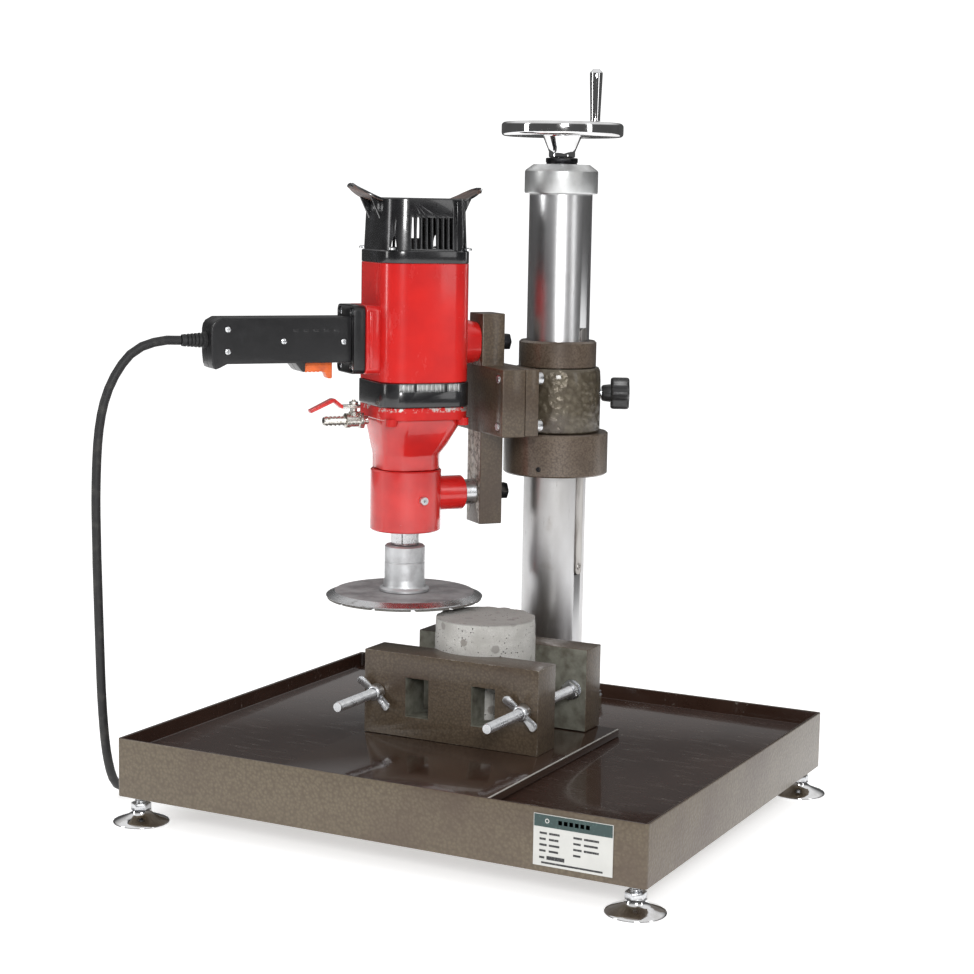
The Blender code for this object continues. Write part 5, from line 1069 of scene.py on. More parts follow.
web_holes = [
    bar(0.01, WHEEL_FOOT, WHEEL_TOP + 0.01, polar(COLUMN, WEB_REACH, HANDLE_ANGLE + math.radians(60 + 120 * i)), 48)
    for i in range(3)
]
handle_place = polar(COLUMN, HANDLE_ORBIT, HANDLE_ANGLE)
wheel_shape = soften(carved(turned(wheel_profile, COLUMN, 128, closed=True), *web_holes), 0.0006, 2,
                     lambda e: any(abs((v.co.xy - COLUMN).length - WEB_REACH) < 0.0104 for v in e.verts)
                     and abs((e.verts[0].co.xy - COLUMN).length - (e.verts[1].co.xy - COLUMN).length) > 1e-5)
pin = turned([(0.0, WHEEL_TOP - 0.006), (0.0022, WHEEL_TOP - 0.006), (0.0022, WHEEL_TOP + 0.0385),
              (0.0, WHEEL_TOP + 0.0385)], handle_place, 20)
fit("handwheel_chromed", joined(wheel_shape, pin), chrome, "handwheel", "chrome", "handwheel", smooth=30.0)

handle_profile = [(0.0027, handle_low.z), (0.0046, handle_low.z), (0.0052, handle_low.z + 0.0006)]
for i in range(9):
    share = i / 8
    handle_profile.append((0.005 + 0.0015 * math.sin(0.5 * math.pi * share) - 0.0003 * math.sin(math.pi * share),
                           handle_low.z + 0.002 + 0.0455 * share))
handle_profile += [(0.0062, handle_high.z - 0.0034), (0.004, handle_high.z - 0.0012), (0.003, handle_high.z - 0.0002),
                   (0.0, handle_high.z)]
fit("crank_handle_tapered",
    turned(handle_profile + [(0.0, handle_low.z + 0.04), (0.0027, handle_low.z + 0.0396)], handle_place, 48,
           closed=True),
    chrome, "crank_handle", "chrome", "crank_handle", smooth=30.0)

# ---- Carriage ----
# A cast and bored sleeve that slides on the column, with a thick turned ring below and a
# clamped collar above. The bronze-coloured feed nut inside the tube carries it.
rough_cast = Finish("rough_cast_enamel", (0.115, 0.085, 0.06), 0.3, 0.35, coat=0.5, coat_roughness=0.1)
lumps = rough_cast.cells(170.0, 0.9)
cast_fine = rough_cast.noise(420.0, 4.0)
cast_cloud = rough_cast.noise(30.0, 5.0)
cast_colour = rough_cast.mixed((lumps + 0.3 * cast_fine).step(0.2, 0.95), (0.12, 0.1, 0.068), (0.072, 0.056, 0.036))
rough_cast.set(
    colour=rough_cast.mixed(cast_cloud.step(0.5, 0.8), cast_colour, (0.05, 0.033, 0.023)),
    roughness=0.2 + 0.26 * cast_fine,
)
rough_cast.relief(lumps + 0.3 * cast_fine, 0.0014, 1.0)

smooth_enamel = Finish("smooth_brown_enamel", (0.112, 0.082, 0.058), 0.3, 0.2, coat=0.45, coat_roughness=0.1)
enamel_cells = smooth_enamel.cells(520.0)
enamel_cloud = smooth_enamel.noise(20.0, 5.0)
enamel_colour = smooth_enamel.mixed(enamel_cells.step(0.2, 0.9), (0.14, 0.104, 0.075), (0.078, 0.055, 0.038))
smooth_enamel.set(
    colour=smooth_enamel.mixed(enamel_cloud.step(0.45, 0.8), enamel_colour, (0.066, 0.045, 0.031)),
    roughness=0.2 + 0.22 * enamel_cloud,
)
smooth_enamel.relief(enamel_cells, 0.00018, 0.5)

sleeve_low, sleeve_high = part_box("carriage_sleeve")
RING_RADIUS, RING_TOP, SLEEVE_RADIUS, SLEEVE_BORE = 0.0544, 0.364, 0.0372, 0.033
sleeve_profile = [
    (RING_RADIUS - 0.0015, sleeve_low.z), (RING_RADIUS, sleeve_low.z + 0.0015), (RING_RADIUS, RING_TOP - 0.0014),
    (RING_RADIUS - 0.0014, RING_TOP), (SLEEVE_RADIUS, RING_TOP), (SLEEVE_RADIUS, sleeve_high.z),
    (SLEEVE_BORE, sleeve_high.z), (SLEEVE_BORE, sleeve_low.z),
]


def keyway():
    """The slot in the bore that the column's key runs in."""
    return turn_to(block((0.0, -0.0055, sleeve_low.z - 0.01), (COLUMN_RADIUS + 0.002, 0.0055, 0.47)), KEY_ANGLE)


RING_SCREW, RING_SCREW_Z = math.radians(277), 0.3285
ring_way = (math.cos(RING_SCREW), math.sin(RING_SCREW), 0.0)
screw_seat = aimed(bar(0.0028, -0.003, 0.01, steps=24), (*polar(COLUMN, RING_RADIUS, RING_SCREW), RING_SCREW_Z),
                   ring_way)
sleeve_shape = carved(turned(sleeve_profile, COLUMN, 128, closed=True), keyway(), screw_seat)
fit("carriage_sleeve_bored", sleeve_shape, smooth_enamel, "carriage", "hammertone_paint", "carriage_sleeve",
    smooth=25.0)


def socket_screw(radius, point, direction, height=0.004, socket=0.5):
    """A cylinder head with a rounded rim and a hexagon socket."""
    head = turned([(0.0, 0.0), (radius, 0.0), (radius, 0.86 * height), (0.92 * radius, height), (0.0, height)],
                  steps=40)
    key = bar(socket * radius, 0.5 * height, 1.5 * height, steps=6)
    return aimed(carved(head, key), point, direction)


def cross_screw(radius, point, direction, height=0.0014, driver=0.62):
    """A pan head with a crossed recess."""
    head = turned([(0.0, -0.0006), (radius, -0.0006), (radius, 0.2 * height), (0.9 * radius, 0.62 * height),
                   (0.62 * radius, 0.92 * height), (0.0, height)], steps=32)
    slots = [block((-driver * radius, -0.13 * radius, 0.35 * height), (driver * radius, 0.13 * radius, 2 * height)),
             block((-0.13 * radius, -driver * radius, 0.35 * height), (0.13 * radius, driver * radius, 2 * height))]
    return aimed(carved(head, *slots), point, direction)


grub = socket_screw(0.0026, (*polar(COLUMN, RING_RADIUS - 0.0032, RING_SCREW), RING_SCREW_Z), ring_way, 0.0024)
fit("carriage_grub_screw", grub, black_oxide, "carriage", "black_steel")

collar_low, collar_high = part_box("upper_collar")
COLLAR_RADIUS = 0.0403
collar_profile = [
    (COLLAR_RADIUS - 0.0008, collar_low.z), (COLLAR_RADIUS, collar_low.z + 0.0008),
    (COLLAR_RADIUS, collar_high.z - 0.002), (COLLAR_RADIUS - 0.002, collar_high.z), (SLEEVE_BORE, collar_high.z),
    (SLEEVE_BORE, collar_low.z),
]
collar_shape = carved(turned(collar_profile, COLUMN, 128, closed=True), keyway())
fit("carriage_collar_turned", collar_shape, smooth_enamel, "carriage", "hammertone_paint", "upper_collar",
    smooth=25.0)

bronze = clouded(
    "feed_nut_bronze", (0.5, 0.33, 0.16), 0.35, 1.0, cloud=(80.0, 5.0),
    tones=((0.56, 0.38, 0.2), (0.36, 0.23, 0.12)), dull=(0.26, 0.26))


def coloured(node, finish):
    """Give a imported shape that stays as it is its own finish."""
    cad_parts[node].data.materials.clear()
    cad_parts[node].data.materials.append(finish.material)


coloured("feed_nut", bronze)

# ---- Swing casting ----
# The part that turns on the carriage: a short rough-cast barrel with a machined flange that the
# bracket is bolted to. Four cap screws come through from the column's side.
ARM_ANGLE = math.radians(231)
BRACKET_BACK, BRACKET_FACE, FLANGE_BACK, FLANGE_FACE = 0.068, 0.093, 0.0532, 0.0677
UPPER_BOLT, LOWER_BOLT, KNOB_HEIGHT = 0.4575, 0.303, 0.404
HEAD_HALF, HEAD_LOW, HEAD_HIGH = 0.07, 0.366, 0.434
BOLT_SPOTS = [(sy * 0.058, 0.4 + sz * 0.024) for sy in (-1, 1) for sz in (-1, 1)]


def on_arm(shape):
    return turn_to(shape, ARM_ANGLE)


casting_profile = [
    (0.0446, 0.3645), (0.0455, 0.3656), (0.0457, 0.393), (0.0455, 0.418), (0.0448, 0.4275), (0.043, 0.4307),
    (0.0377, 0.4307), (0.0377, 0.3645),
]
KNOB_BEARING = math.radians(155)
knob_way = Vector((math.cos(KNOB_BEARING), math.sin(KNOB_BEARING), 0.0))
barrel = carved(
    turned(casting_profile, steps=128, closed=True),
    block((0.0395, -0.032, 0.3685), (0.0545, 0.032, 0.4285)),
    operation="UNION",
)
barrel = carved(barrel, bar(0.0377, 0.35, 0.45, steps=128),
                aimed(bar(0.0046, 0.036, 0.06, steps=24), (0.0, 0.0, KNOB_HEIGHT), knob_way))
soften(barrel, 0.0016, 3)
flange = carved(
    block((FLANGE_BACK, -HEAD_HALF, HEAD_LOW + 0.0005), (FLANGE_FACE, HEAD_HALF, HEAD_HIGH)),
    *(lengthwise(bar(0.0043, FLANGE_BACK - 0.01, BRACKET_FACE, steps=24), z, y)
      for y, z in BOLT_SPOTS),
)
flange_paint = enamelled("flange_enamel", (FLANGE_BACK, -HEAD_HALF, HEAD_LOW), (FLANGE_FACE, HEAD_HALF, HEAD_HIGH),
                         0.0013, (*COLUMN, 0.0), -ARM_ANGLE)
fit("swing_barrel_and_flange", on_arm(joined(barrel, soften(flange, 0.001, 3), finish=[0, 1])),
    [rough_cast, flange_paint], "swing_head", "hammertone_paint", "swing_casting", smooth=30.0)
flange_screws = []
for y, z in BOLT_SPOTS:
    flange_screws.append(socket_screw(0.0065, (FLANGE_BACK, y, z), (-1.0, 0.0, 0.0), 0.008))
    flange_screws.append(aimed(threaded(0.004, 0.0, BRACKET_FACE + 0.0012 - FLANGE_BACK, 0.00125, 0.0005, 20),
                               (FLANGE_BACK, y, z), (1.0, 0.0, 0.0)))
fit("flange_cap_screws", on_arm(joined(*flange_screws)), zinc, "swing_head", "zinc_plate")

# ---- Lock knob ----
# A moulded black star knob with six lobes on a zinc-plated stud. The stud screws into the
# barrel and pinches it on the sleeve.
knob_start = 0.0458
star = bmesh.new()
bmesh.ops.create_circle(star, cap_ends=True, segments=120, radius=0.0185)
for vertex in star.verts:
    angle = math.atan2(vertex.co.y, vertex.co.x)
    vertex.co *= 0.88 + 0.12 * math.cos(6 * angle)
shifted(soften(extruded(star, (0.0, 0.0, 0.019)), 0.0028, 4), (0.0, 0.0, knob_start + 0.0105))
knob_hub = turned([(0.0, knob_start + 0.001), (0.0072, knob_start + 0.001), (0.0085, knob_start + 0.0025),
                   (0.0095, knob_start + 0.0115), (0.0, knob_start + 0.0115)], steps=48)
knob_boss = turned([(0.0, knob_start + 0.029), (0.0105, knob_start + 0.029), (0.0098, knob_start + 0.0298),
                    (0.004, knob_start + 0.03), (0.003, knob_start + 0.0296), (0.0, knob_start + 0.0296)], steps=48)
knob_stud = turned([(0.0, 0.039), (0.0038, 0.039), (0.004, 0.0396), (0.004, knob_start),
                    (0.0064, knob_start + 0.0002), (0.0064, knob_start + 0.0014), (0.0, knob_start + 0.0014)], steps=36)
knob_shape = aimed(joined(star, knob_hub, knob_boss, knob_stud, finish=[0, 0, 0, 1]), (0.0, 0.0, KNOB_HEIGHT), knob_way)
fit("star_knob_and_stud", on_arm(knob_shape), [plastic_black, zinc], "lock_knob", "black_plastic", "lock_knob",
    smooth=35.0)

# ---- Bracket ----
# A cross of flame-cut plate, painted, between the casting and the drill. Two black hexagon
# bolts pass through its upright bar, into the motor above and the spindle housing below.
BAR_HALF = 0.017
bracket_low, bracket_high = 0.271, 0.487
bolt_holes = [lengthwise(bar(0.0063, 0.05, 0.12, steps=32), z) for z in (UPPER_BOLT, LOWER_BOLT)]
bolt_holes += [lengthwise(bar(0.0043, 0.05, 0.12, steps=24), z, y) for y, z in BOLT_SPOTS]
upright_bar = block((BRACKET_BACK, -BAR_HALF, bracket_low), (BRACKET_FACE, BAR_HALF, bracket_high))
cross_head = block((BRACKET_BACK, -HEAD_HALF, HEAD_LOW), (BRACKET_FACE, HEAD_HALF, HEAD_HIGH))
bracket_shape = soften(carved(carved(upright_bar, cross_head, operation="UNION"), *bolt_holes), 0.0011, 3)
bar_paint = enamelled("bracket_bar_enamel", (BRACKET_BACK, -BAR_HALF, bracket_low),
                      (BRACKET_FACE, BAR_HALF, bracket_high), 0.0015, (*COLUMN, 0.0), -ARM_ANGLE)
head_paint = enamelled("bracket_head_enamel", (BRACKET_BACK, -HEAD_HALF, HEAD_LOW),
                       (BRACKET_FACE, HEAD_HALF, HEAD_HIGH), 0.0015, (*COLUMN, 0.0), -ARM_ANGLE)
for face in bracket_shape.faces:
    face.material_index = 1 if HEAD_LOW - 0.0005 < face.calc_center_median().z < HEAD_HIGH + 0.0005 else 0
fit("bracket_cross_plate", on_arm(bracket_shape), [bar_paint, head_paint], "swing_head", "hammertone_paint",
    "bracket")
for label, z in (("upper", UPPER_BOLT), ("lower", LOWER_BOLT)):
    tip = 0.111 if label == "upper" else 0.122
    head = joined(hexagon(0.009, 0.0018, 0.0115), turned([(0.0, 0.0003), (0.0096, 0.0003), (0.0096, 0.0018),
                                                          (0.0, 0.0018)], steps=40))
    shank = lengthwise(bar(0.006, BRACKET_BACK, tip, steps=32), 0.0)
    bolt = joined(aimed(head, (BRACKET_BACK, 0.0, 0.0), (-1.0, 0.0, 0.0)), shank)
    shifted(bolt, (0.0, 0.0, z))
    fit(f"bracket_hexagon_bolt_{label}", on_arm(bolt), black_oxide, "swing_head", "black_steel",
        f"bracket_bolt_{label}")

# ---- Motor housing ----
# The drill motor's body is a red moulding, square with round corners, drawn straight up. It has
# a flared boss for the bracket's bolt and a raised pad for the grip.
MOTOR_X, MOTOR_HALF, MOTOR_CORNER, MOTOR_WALL, MOTOR_FOOT, MOTOR_TOP = 0.161, 0.047, 0.024, 0.0035, 0.42, 0.538
red = Finish("motor_red_moulding", (0.62, 0.014, 0.012), 0.24, coat=0.45, coat_roughness=0.07)
red_cloud = red.noise(22.0, 6.0)
red_scuff = red.noise(55.0, 7.0, stretch=(1.0, 1.0, 0.35), roughness=0.7)
red_dust = red.noise(600.0, 4.0)
red_base = red.mixed(red_cloud.step(0.3, 0.8), (0.66, 0.017, 0.014), (0.5, 0.01, 0.01))
red_base = red.mixed(red_scuff.step(0.64, 0.72) * 0.45, red_base, (0.72, 0.18, 0.17))
red.set(
    colour=red.mixed(red_dust.step(0.68, 0.8) * 0.3, red_base, (0.3, 0.03, 0.03)),
    roughness=0.16 + 0.16 * red_cloud + 0.22 * red_scuff.step(0.55, 0.75),
)
red.relief(red.noise(110.0, 3.0) + 0.25 * red.noise(900.0, 2.0), 0.00016, 0.5)


def squared(half, corner, z, steps=12):
    """One ring of a square with round corners: a circle's points moved out to its four corners."""
    ring = bmesh.new()
    bmesh.ops.create_circle(ring, segments=4 * (steps + 1), radius=corner)
    bmesh.ops.rotate(ring, verts=ring.verts, matrix=Matrix.Rotation(math.radians(45.0 / (steps + 1)), 3, "Z"))
    for vertex in ring.verts:
        vertex.co.x += math.copysign(half - corner, vertex.co.x) + MOTOR_X
        vertex.co.y += math.copysign(half - corner, vertex.co.y)
        vertex.co.z = z
    return ring


def squares(*rows, corner=MOTOR_CORNER):
    """Rings on the motor's axis, from their half widths and heights. A third number trims the corner."""
    return [squared(row[0], corner - (row[2] if len(row) > 2 else 0.0), row[1]) for row in rows]


def stacked(*rings, closed=False):
    """Join rings of equal count into a skin, capped at both ends, or closed round a bore."""
    shape = joined(*rings)
    count = len(shape.verts) // len(rings)
    shape.verts.ensure_lookup_table()
    rows = [shape.verts[i * count:(i + 1) * count] for i in range(len(rings))]
    for low, high in list(zip(rows, rows[1:])) + ([(rows[-1], rows[0])] if closed else []):
        for i in range(count):
            after = (i + 1) % count
            shape.faces.new((low[i], low[after], high[after], high[i]))
    if not closed:
        for row in (rows[0], rows[-1]):
            shape.faces.new(row)
    bmesh.ops.recalc_face_normals(shape, faces=shape.faces)
    return shape


housing = stacked(
    *squares(
        (MOTOR_HALF - 0.0008, MOTOR_FOOT), (MOTOR_HALF, MOTOR_FOOT + 0.0009), (MOTOR_HALF, MOTOR_TOP - 0.0006),
        (MOTOR_HALF - 0.0006, MOTOR_TOP), (MOTOR_HALF - MOTOR_WALL, MOTOR_TOP, MOTOR_WALL),
        (MOTOR_HALF - MOTOR_WALL, MOTOR_FOOT, MOTOR_WALL)),
    closed=True,
)
boss = block((BRACKET_FACE + 0.0003, -BAR_HALF, 0.437), (MOTOR_X - MOTOR_HALF + 0.0018, BAR_HALF, 0.478))
rounded(boss, 0.0155, 10, lambda e: runs(e, 0))
for vertex in boss.verts:
    if vertex.co.x > 0.11:
        vertex.co.y *= 1.22
        vertex.co.z = UPPER_BOLT + (vertex.co.z - UPPER_BOLT) * 1.22
boss = carved(boss, lengthwise(bar(0.0063, 0.08, 0.1125, steps=32), UPPER_BOLT))
pad = block((MOTOR_X + MOTOR_HALF - 0.0018, -0.027, 0.428), (0.222, 0.027, 0.496))
rounded(pad, 0.006, 5, lambda e: runs(e, 0))
ribs = [block((0.2155, side * 0.0275 - 0.0008, 0.434), (0.2185, side * 0.0275 + 0.0008, 0.49),
              0.0005) for side in (-1, 1)]
fit("motor_red_body", on_arm(joined(housing, soften(boss, 0.0012, 3), soften(pad, 0.001, 3), *ribs)), red,
    "swing_head", "red_housing", "motor_housing", smooth=30.0)

# ---- Rear cap ----
# A gloss black moulding over the commutator, with slots for the air, a screw channel down each
# corner and two wing-shaped ears, which keep the drill upright when it is stood on its end.
gloss_black = clouded(
    "gloss_black_moulding", (0.012, 0.012, 0.013), 0.14, coat=0.5, coat_roughness=0.06, cloud=(35.0, 6.0),
    span=(0.5, 0.8), tones=((0.01, 0.01, 0.011), (0.028, 0.029, 0.032)), dull=(0.11, 0.24),
    relief=((130.0, 3.0), (0.0002, 0.4)))
# The ears' downward faces get a brown that is a painted reflection of the brown tray below, not a colour of the black
# moulding.
ear_reflection_paint = clouded(
    "ear_underside_painted_reflection", (0.085, 0.045, 0.034), 0.45, cloud=(130.0, 5.0), span=(0.35, 0.7),
    tones=((0.105, 0.055, 0.04), (0.04, 0.022, 0.018)), dull=(0.36, 0.25))
CAP_FOOT, CAP_RING, CAP_ROOF, CAP_HALF, CAP_WALL = 0.5383, 0.5503, 0.602, 0.0435, 0.003
outer_cap = stacked(*squares(
    (MOTOR_HALF, CAP_FOOT), (MOTOR_HALF, CAP_RING - 0.0008), (MOTOR_HALF - 0.0008, CAP_RING),
    (MOTOR_HALF - 0.0018, CAP_RING + 0.0003), (CAP_HALF, CAP_ROOF - 0.0016), (CAP_HALF - 0.0006, CAP_ROOF - 0.0004),
    (CAP_HALF - 0.0022, CAP_ROOF, 0.001)))
cap_hollow = stacked(*squares(
    (MOTOR_HALF - CAP_WALL, CAP_FOOT - 0.01), (MOTOR_HALF - CAP_WALL, CAP_RING),
    (CAP_HALF - CAP_WALL, CAP_ROOF - CAP_WALL), corner=MOTOR_CORNER - CAP_WALL))
CHANNEL = 0.0405
channel_places = [(MOTOR_X + sx * CHANNEL, sy * CHANNEL) for sx in (-1, 1) for sy in (-1, 1)]
channels = [bar(0.0052, CAP_RING + 0.0006, CAP_ROOF + 0.01, place, 32) for place in channel_places]
vents = [
    block((MOTOR_X + (i - 3.5) * 0.0058 - 0.0016, side * 0.041 - 0.012, 0.552),
          (MOTOR_X + (i - 3.5) * 0.0058 + 0.0016, side * 0.041 + 0.012, 0.583), 0.0009, 2)
    for side in (-1, 1) for i in range(8)
]
cap_shell = soften(carved(carved(outer_cap, *channels), cap_hollow, *vents), 0.00035, 2)
cap_parts = [cap_shell]
for side in (-1, 1):
    ear = bmesh.new()
    bmesh.ops.create_grid(ear, x_segments=14, y_segments=14, size=1.0)
    for vertex in ear.verts:
        out, wide = (vertex.co.x + 1) / 2, vertex.co.y
        reach = 0.0365 + 0.034 * out * (1.0 - 0.1 * wide * wide)
        narrow = 0.0225 * math.sqrt(max(1.0 - out ** 3.4, 0.012))
        vertex.co = Vector((MOTOR_X + side * reach, wide * narrow,
                            CAP_ROOF - 0.0026 + 0.014 * out ** 1.05 - 0.0016 * math.sin(math.pi * out)))
    bmesh.ops.recalc_face_normals(ear, faces=ear.faces)
    if ear.faces[0].normal.z < 0 or side < 0:
        bmesh.ops.reverse_faces(ear, faces=[f for f in ear.faces if f.normal.z < 0])
    bmesh.ops.solidify(ear, geom=ear.faces[:], thickness=0.0024)
    bmesh.ops.recalc_face_normals(ear, faces=ear.faces)
    soften(ear, 0.0006, 2)
    # Faces that look down take the brown painted reflection.
    for face in ear.faces:
        face.material_index = 1 if face.normal.z < -0.4 else 0
    cap_parts.append(ear)
    for y in (-0.015, 0.015):
        web = block((-0.001, y - 0.0013, 0.58), (0.011, y + 0.0013, 0.6035))
        for vertex in web.verts:
            if vertex.co.z < 0.59 and vertex.co.x > 0.0:
                vertex.co.x = 0.0006
            if vertex.co.z > 0.59:
                vertex.co.z = 0.6 if vertex.co.x < 0.001 else 0.602
            vertex.co.x = MOTOR_X + side * (CAP_HALF - 0.0006 + vertex.co.x)
        bmesh.ops.recalc_face_normals(web, faces=web.faces)
        cap_parts.append(soften(web, 0.0005, 2))
rib_edges = [block((MOTOR_X - 0.0275, side * 0.0443 - 0.0008, 0.5507),
                   (MOTOR_X - 0.0262, side * 0.0443 + 0.0008, 0.5985), 0.0004)
             for side in (-1, 1)]
fit("rear_cap_moulding", on_arm(joined(*cap_parts, *rib_edges)), [gloss_black, ear_reflection_paint], "swing_head",
    "black_plastic", "rear_cap")
cap_screws = [cross_screw(0.004, (*place, CAP_RING + 0.0014), (0.0, 0.0, 1.0), 0.0022) for place in channel_places]
fit("rear_cap_screws", on_arm(joined(*cap_screws)), zinc, "swing_head", "zinc_plate")

# ---- Motor fan band ----
# A black ventilated band between the red body and the gearbox. Through its slots the bright
# fins of the fan guard show. Behind the slots sit the fan, the armature and the windings.
BAND_HALF, BAND_FOOT, BAND_TOP, BAND_WALL = 0.048, 0.3957, 0.4197, 0.004
band_skin = stacked(
    *squares(
        (BAND_HALF - 0.0008, BAND_FOOT), (BAND_HALF, BAND_FOOT + 0.0008), (BAND_HALF, BAND_TOP - 0.0088),
        (BAND_HALF, BAND_TOP - 0.0006), (BAND_HALF - 0.0006, BAND_TOP), (BAND_HALF - BAND_WALL, BAND_TOP, BAND_WALL),
        (BAND_HALF - BAND_WALL, BAND_FOOT, BAND_WALL)),
    closed=True,
)
windows = []
for side in (-1, 1):
    for low, high in ((-0.033, -0.0175), (-0.0155, 0.0155), (0.0175, 0.033)):
        windows.append(block((MOTOR_X + low, side * 0.046 - 0.012, 0.4114),
                             (MOTOR_X + high, side * 0.046 + 0.012, 0.4194), 0.0006, 2))
band = made("fan_band_moulding", on_arm(soften(carved(band_skin, *windows), 0.0003, 2)), gloss_black, 32.0)
dress(band, "swing_head", "black_plastic", "fan_band")
guard = []
for side in (-1, 1):
    guard.append(block((MOTOR_X - 0.0345, side * 0.04 - 0.0005, 0.4098),
                       (MOTOR_X + 0.0345, side * 0.04 + 0.0005, 0.4195)))
    for i in range(14):
        x = MOTOR_X + (i - 6.5) * 0.0049
        guard.append(block((x - 0.0011, side * 0.0418 - 0.0018, 0.41), (x + 0.0011, side * 0.0418 + 0.0018, 0.4193),
                           0.0004, 2))
fit("fan_guard_fins", on_arm(joined(*guard)), aluminium, "swing_head", "machined_aluminium")

copper = Finish("enamelled_copper", (0.42, 0.13, 0.045), 0.3, metallic=0.9)
copper_turns = copper.round_axis((0.0, 0.0), 90.0)
copper.set(colour=copper.mixed(copper_turns.step(0.4, 0.62), (0.46, 0.15, 0.05), (0.22, 0.06, 0.03)),
           roughness=0.22 + 0.25 * copper_turns)
copper.relief(copper_turns, 0.0004, 0.6)
dark_iron = Finish("laminated_iron", (0.1, 0.1, 0.105), 0.42, metallic=0.8)
sheets = dark_iron.moved(scale=(1.0, 1.0, 1800.0))
sheet_lines = dark_iron.node("ShaderNodeTexNoise", {}, {"Vector": sheets, "Scale": 1.0, "Detail": 1.0})
dark_iron.set(colour=dark_iron.mixed(sheet_lines, (0.06, 0.06, 0.065), (0.17, 0.165, 0.16)),
              roughness=0.3 + 0.25 * sheet_lines)
dark_iron.relief(sheet_lines, 0.0001, 0.5)

# ---- Gearbox ----
# The red gear case is cast aluminium under paint: a square flange with four screw pockets,
# a cone down to a round neck, and a strip along the flange where the paint has worn off.
GEAR_X = 0.168
FLANGE_HALF, FLANGE_FOOT, FLANGE_TOP, NECK_RADIUS, NECK_TOP, NECK_FOOT = 0.047, 0.3825, 0.3954, 0.034, 0.344, 0.3303
case_red = Finish("case_red_paint", (0.6, 0.013, 0.011), 0.22, coat=0.6, coat_roughness=0.05)
case_cloud = case_red.noise(26.0, 5.0)
case_worn = case_red.noise(140.0, 6.0, roughness=0.7)
worn_strip = case_red.axes()[2].step(FLANGE_TOP - 0.0052,
                                     FLANGE_TOP - 0.0032) * (case_worn + 0.8 * case_cloud).step(0.92, 0.98)
worn_spots = case_red.noise(60.0, 7.0, roughness=0.75).step(0.71, 0.73)
bare = worn_strip.maths("MAXIMUM", worn_spots, clamp=True)
case_base = case_red.mixed(case_cloud.step(0.3, 0.8), (0.66, 0.016, 0.013), (0.46, 0.009, 0.009))
case_red.set(
    colour=case_red.mixed(bare, case_base, (0.6, 0.58, 0.55)),
    roughness=0.15 + 0.15 * case_cloud + 0.25 * bare,
    metallic=bare * 0.85,
)
case_red.relief(case_red.noise(150.0, 4.0) - bare * 0.8, 0.00022, 0.5)


def to_circle(radius, z, part, centre=(GEAR_X, 0.0)):
    """A ring part of the way from the flange's square to the neck's circle."""
    ring = squared(0.043, MOTOR_CORNER, z)
    for vertex in ring.verts:
        angle = math.atan2(vertex.co.y, vertex.co.x - MOTOR_X)
        circle = Vector((*polar(centre, radius, angle), z))
        vertex.co = vertex.co.lerp(circle, part)
    return ring


cone = stacked(
    to_circle(NECK_RADIUS - 0.0008, NECK_FOOT, 1.0),
    *(to_circle(NECK_RADIUS, z, part) for z, part in (
        (NECK_FOOT + 0.0008, 1.0), (NECK_TOP, 1.0), (NECK_TOP + 0.003, 0.93), (0.356, 0.62), (0.369, 0.28),
        (0.378, 0.04), (FLANGE_FOOT + 0.003, 0.0))),
)
case_flange = stacked(*squares(
    (FLANGE_HALF - 0.0008, FLANGE_FOOT), (FLANGE_HALF, FLANGE_FOOT + 0.0008), (FLANGE_HALF, 0.3895),
    (FLANGE_HALF, FLANGE_TOP - 0.0006), (FLANGE_HALF - 0.0006, FLANGE_TOP)))
case_shape = carved(cone, case_flange, operation="UNION")
SCREW_REACH = 0.0385
case_places = [(MOTOR_X + sx * SCREW_REACH, sy * SCREW_REACH) for sx in (-1, 1) for sy in (-1, 1)]
lugs = [bar(0.0058, 0.377, FLANGE_FOOT + 0.002, place, 32) for place in case_places]
case_shape = carved(case_shape, *lugs, operation="UNION")
pockets = [bar(0.0042, 0.37, 0.3795, place, 28) for place in case_places]
case_shape = carved(case_shape, *pockets)
port_boss = turned([(0.0, 0.342), (0.0085, 0.342), (0.0085, 0.3735), (0.0078, 0.3748), (0.0, 0.3748)],
                   centre=(GEAR_X, -0.03), steps=48)
fit("gear_case_red", on_arm(joined(case_shape, port_boss)), case_red, "swing_head", "red_housing",
    "gearbox_housing", smooth=36.0)
case_screws = [cross_screw(0.0036, (*place, 0.3795), (0.0, 0.0, -1.0), 0.0026) for place in case_places]
fit("gear_case_screws", on_arm(joined(*case_screws)), zinc, "swing_head", "zinc_plate")

# ---- Spindle housing ----
# A red collar under the gearbox, bored for the spindle's bearing. A boss towards the column
# takes the lower bracket bolt, with a zinc spacer between, and a small screw sits beside it.
HOUSING_RADIUS, HOUSING_FOOT, HOUSING_TOP = 0.036, 0.2675, 0.33
barrel_profile = [
    (0.015, HOUSING_FOOT + 0.001), (0.016, HOUSING_FOOT), (HOUSING_RADIUS - 0.0012, HOUSING_FOOT),
    (HOUSING_RADIUS, HOUSING_FOOT + 0.0012), (HOUSING_RADIUS, HOUSING_TOP - 0.0012),
    (HOUSING_RADIUS - 0.0012, HOUSING_TOP), (0.016, HOUSING_TOP), (0.015, HOUSING_TOP - 0.001),
]
collar = turned(barrel_profile, centre=(GEAR_X, 0.0), steps=128, closed=True)
side_boss = aimed(turned([(0.0, 0.1067), (0.0165, 0.1067), (0.0175, 0.1077), (0.0175, 0.137), (0.0, 0.137)], steps=72),
                  (0.0, 0.0, LOWER_BOLT), (1.0, 0.0, 0.0))
bolt_way = lengthwise(bar(0.0063, 0.09, 0.128, steps=32), LOWER_BOLT)
collar = carved(carved(collar, side_boss, operation="UNION"), bolt_way)
fit("spindle_collar_red", on_arm(collar), case_red, "swing_head", "red_housing", "spindle_housing", smooth=34.0)
spacer = turned([(0.0063, 0.0933), (0.0124, 0.0933), (0.013, 0.0939), (0.013, 0.1061), (0.0124, 0.1067),
                 (0.0063, 0.1067)],
                steps=48, closed=True)
